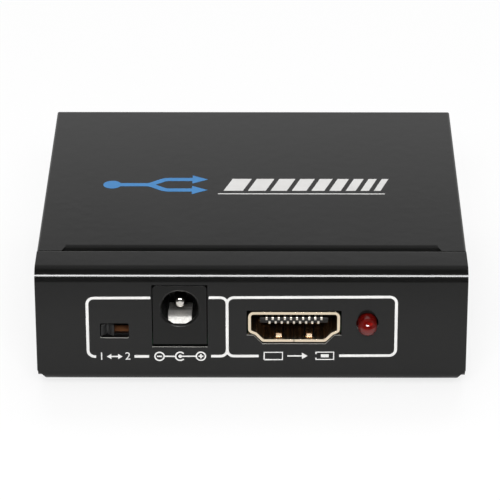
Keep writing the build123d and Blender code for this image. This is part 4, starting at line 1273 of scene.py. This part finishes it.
def contact_row(name, face, way, count):
    """A row of contacts along one face of the tongue, and down to the board behind it."""
    lifted = face + way * contact_lift
    path = [
        (0, tongue_front, face - way * tip_height), (0, tongue_front, lifted), (0, tongue_back, lifted),
        (0, tongue_back, contact_lift), (0, lead_end, contact_lift),
    ]
    return strips(
        name, [path], contact_height, contact_width, contact_tip, bend=0.1, facing=along_x, Count=count,
        Pitch=contact_pitch * mm,
    )


for name, x in port_x.items():
    matrix = seat(name, x, board_z)
    finish_copy(f"{name}_port_shell", 0.09, gilt, "gilt_shell")
    finish_copy(f"{name}_port_insulator", 0.05, port_plastic, "port_plastic")
    rows = [contact_row("upper", tongue_high, 1, 10), contact_row("lower", tongue_low, -1, 9)]
    contacts = joined(f"{name}_contact_rows", rows, matrix)
    smooth(contacts.data)
    finish_piece(contacts, contact_tip, f"{name}_port_contacts", slot="gold_contact")
    bumps = strips(
        "bumps", [finger_path], finger_height, finger_width, gilt, bend=0.12, facing=along_x, Count=2,
        Pitch=finger_pitch * mm,
    )
    bumps = joined(f"{name}_finger_bumps", [bumps], matrix)
    smooth(bumps.data)
    finish_piece(bumps, gilt, slot="gilt_shell")
    # Painted shade: a black sheet over the board under the fingers' slits, standing in for the shadow there.
    shade_pad = filled("shade_pad", [shade_pad_outline], port_plastic)
    shade_pad = joined(f"{name}_port_shade_pad", [shade_pad], matrix @ shift(0, 0, shade_pad_lift))
    finish_piece(shade_pad, port_plastic, slot="port_plastic")
print("contacts per receptacle:", 19, "faces:", len(contacts.data.polygons))

# %% [markdown]
# ## Status lamps
#
# The resin body of a lamp is turned, with its dome towards the viewer. Through the resin
# two metal posts show, one with a small cup, and the hair-thin wire between them.

# %% Status lamps
lamp_radius = 1.55
dome_height = 1.25
dome = rounding(0.0, dome_height, lamp_radius, 0, 81, 9)
upright = Matrix.Rotation(math.radians(90), 4, "X")
lamp_profile = [
    (0.0, -2.5), (1.87, -2.5), (1.95, -2.42), (1.95, -1.56), (1.89, -1.5), (lamp_radius, -1.5), *dome,
    (0.0, 2.8),
]
post_sheet, post_width, wire_width = 0.42, 0.3, 0.05
post_paths = [
    [(-0.95, 2.4, 0), (-0.95, 0.9, 0), (-0.35, 0.1, 0)], [(0.95, 2.4, 0), (0.95, 0.6, 0), (0.35, -0.2, 0)],
]
cup_profile = [(0.0, -0.25), (0.34, -0.25), (0.5, 0.0), (0.44, 0.0), (0.3, -0.14), (0.0, -0.14)]
wire_path = [(-0.4, 0.15, 0), (-0.3, -0.55, 0), (0.1, -0.6, 0), (0.22, -0.25, 0)]

for name, x in lamp_x.items():
    matrix = seat(name, x, lamp_z)
    body = turned(f"{name}_resin", lamp_profile, resin, steps=64)
    for corner in body.data.vertices:
        corner.co.x = min(corner.co.x, lamp_radius * mm)
    body.data.transform(matrix @ upright)
    smooth(body.data)
    finish_piece(body, resin, f"{name}_led_lens", slot="red_resin")
    posts = strips("posts", post_paths, post_sheet, post_width, tin, bend=0.25)
    cup = turned("cup", cup_profile, tin, steps=20)
    cup.data.transform(shift(0.25, -0.3, 0) @ upright)
    wire = strips("wire", [wire_path], wire_width, wire_width, tin, bend=0.25)
    inside = joined(f"{name}_lamp_posts", [posts, cup, wire], matrix)
    smooth(inside.data)
    finish_piece(inside, tin, slot="tinned_copper")
    finish_copy(f"{name}_led_leads", 0.06, tin, "tinned_copper")
print("lamps:", len(lamp_x))

# %% [markdown]
# ## Slide switch
#
# Only the knob and its wiper move, and they ride on the body of the slider. The knob has a tapered groove for
# the finger nail, rubbed a little lighter along its edges by use. The frame is given the black screws'
# finish, and a thin black sheet lies at the back of the slot. Both are painted shade, so that only the brown
# plate shows beside the knob.

# %% Slide switch
groove_reach = 0.3
groove_depth = 0.7
groove_deeper = 0.6
shade_sheet_thickness, shade_sheet_width = 0.06, 8.6
shade_sheet_path = [
    (switch_x, front_y + 3.87, 10.62), (switch_x, front_y + 4.8, 10.62), (switch_x, front_y + 4.8, 11.0),
]


def deepen_groove(build):
    """The bottom of the groove lies deeper, where no light gets."""
    low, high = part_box("switch_knob")
    for corner in build.verts:
        across = abs(corner.co.x - (low.x + high.x) / 2) / mm
        if across < groove_reach and corner.co.y < low.y + groove_depth * mm:
            corner.co.y += groove_deeper * mm


finish_copy("switch_knob", 0.05, knob_plastic, "knob_plastic", body="mode_slider", change=deepen_groove)
# Painted shade: a thin black sheet at the back of the slot, where the inside of the switch lies in shadow.
shade_sheet = strips("shade_sheet", [shade_sheet_path], shade_sheet_thickness, shade_sheet_width, port_plastic, facing=along_x)
finish_piece(joined("switch_shade_sheet", [shade_sheet]), port_plastic, slot="port_plastic")
finish_copy("switch_wiper", 0.03, gold, "gold_contact", body="mode_slider")
# Painted shade: the steel frame takes the black screws' finish, so it reads as the shadow round the brown
# plate.
finish_copy("switch_frame", 0.06, black_steel, "plated_steel")
finish_copy("switch_base", 0.05, brown_plate, "brown_laminate")
finish_copy("switch_terminals", 0.04, tin, "tinned_copper")
print("switch: knob and wiper ride on mode_slider")

# %% [markdown]
# ## Circuit board
#
# The board shows only when the case is opened, but it is dressed as carefully. Green resist
# lies over a glass weave and copper tracks. Bumps follow both, at their real scale.

# %% Board finish
laminate, tree, shader, place = new_finish("green_laminate", (0.012, 0.085, 0.035), Specular_IOR_Level=0.5)
threads = [
    add_node(tree, "ShaderNodeTexWave", {
        "Vector": place, "Scale": 420.0, "Distortion": 0.6,
    }, bands_direction=way).outputs["Fac"] for way in "XY"
]
weave = add_math(tree, "MULTIPLY", *threads)
tracks = add_node(tree, "ShaderNodeTexBrick", {
    "Vector": place, "Scale": 260.0, "Mortar Size": 0.06, "Mortar Smooth": 0.2, "Brick Width": 1.6,
    "Row Height": 0.25,
}).outputs["Fac"]
shade = mix_colour(tree, weave, (0.010, 0.075, 0.030), (0.016, 0.105, 0.045))
shade = mix_colour(tree, add_math(tree, "MULTIPLY", tracks, 0.5), shade, (0.045, 0.19, 0.06))
height = add_math(tree, "MULTIPLY_ADD", tracks, 0.7, weave)
gloss = add_node(tree, "ShaderNodeGroup", {
    "Place": place, "Scale": 3000.0, "Roughness": 0.32, "Gloss Spread": 0.1,
}, node_tree=grain).outputs["Roughness"]
feed(shader, Base_Color=shade, Roughness=gloss, Normal=add_bump(tree, 0.02 * mm, height, 0.6))
print("board finish ready")

# %% [markdown]
# ## The parts on the board
#
# The soldered parts are eased copies, each in its own finish. The leads of both chips are
# bent strips in rows, one row for each side of a chip.

# %% Board and its parts
lead_sheet, lead_width, lead_bend = 0.15, 0.35, 0.1
lead_reach, lead_rise = 1.1, 0.7
board_parts = {
    "main_board": (0.06, laminate, "board_laminate"), "board_standoffs": (0.10, bright_steel, "plated_steel"),
    "splitter_chip": (0.06, epoxy, "chip_epoxy"), "memory_chip": (0.06, epoxy, "chip_epoxy"),
    "clock_crystal": (0.08, bright_steel, "plated_steel"), "voltage_regulator": (0.05, epoxy, "chip_epoxy"),
    "power_inductor": (0.12, ferrite, "ferrite"), "power_diode": (0.06, epoxy, "chip_epoxy"),
    "filter_capacitors": (0.10, aluminium, "capacitor_can"), "ceramic_capacitors": (0.06, ceramic, "ceramic"),
    "line_resistors": (0.05, ceramic, "ceramic"),
}
for node, settings in board_parts.items():
    finish_copy(node, *settings)


def lead_rows(name, start, place, count, pitch, turns):
    """The leads of one chip: out of the body and down to the board, in rows round it."""
    thick = lead_sheet / 2
    path = [
        (0, start, lead_rise - thick), (0, start + lead_reach * 0.35, lead_rise - thick),
        (0, start + lead_reach * 0.6, thick), (0, start + lead_reach, thick),
    ]
    return strips(
        name, [path], lead_sheet, lead_width, tin, bend=lead_bend, facing=along_x, place=(*place, board_z),
        Count=count, Pitch=pitch * mm, Turns=turns,
    )


splitter_leads = lead_rows("chip_row", 7.0, (3.0, 1.0), 16, 0.8, 4)
memory_leads = lead_rows("memory_row", 1.95, (20.0, -7.0), 4, 1.27, 2)
leads = joined("chip_lead_rows", [splitter_leads, memory_leads])
smooth(leads.data)
finish_piece(leads, tin, "chip_leads", slot="tinned_copper")
print("board parts:", len(board_parts), "leads faces:", len(leads.data.polygons))
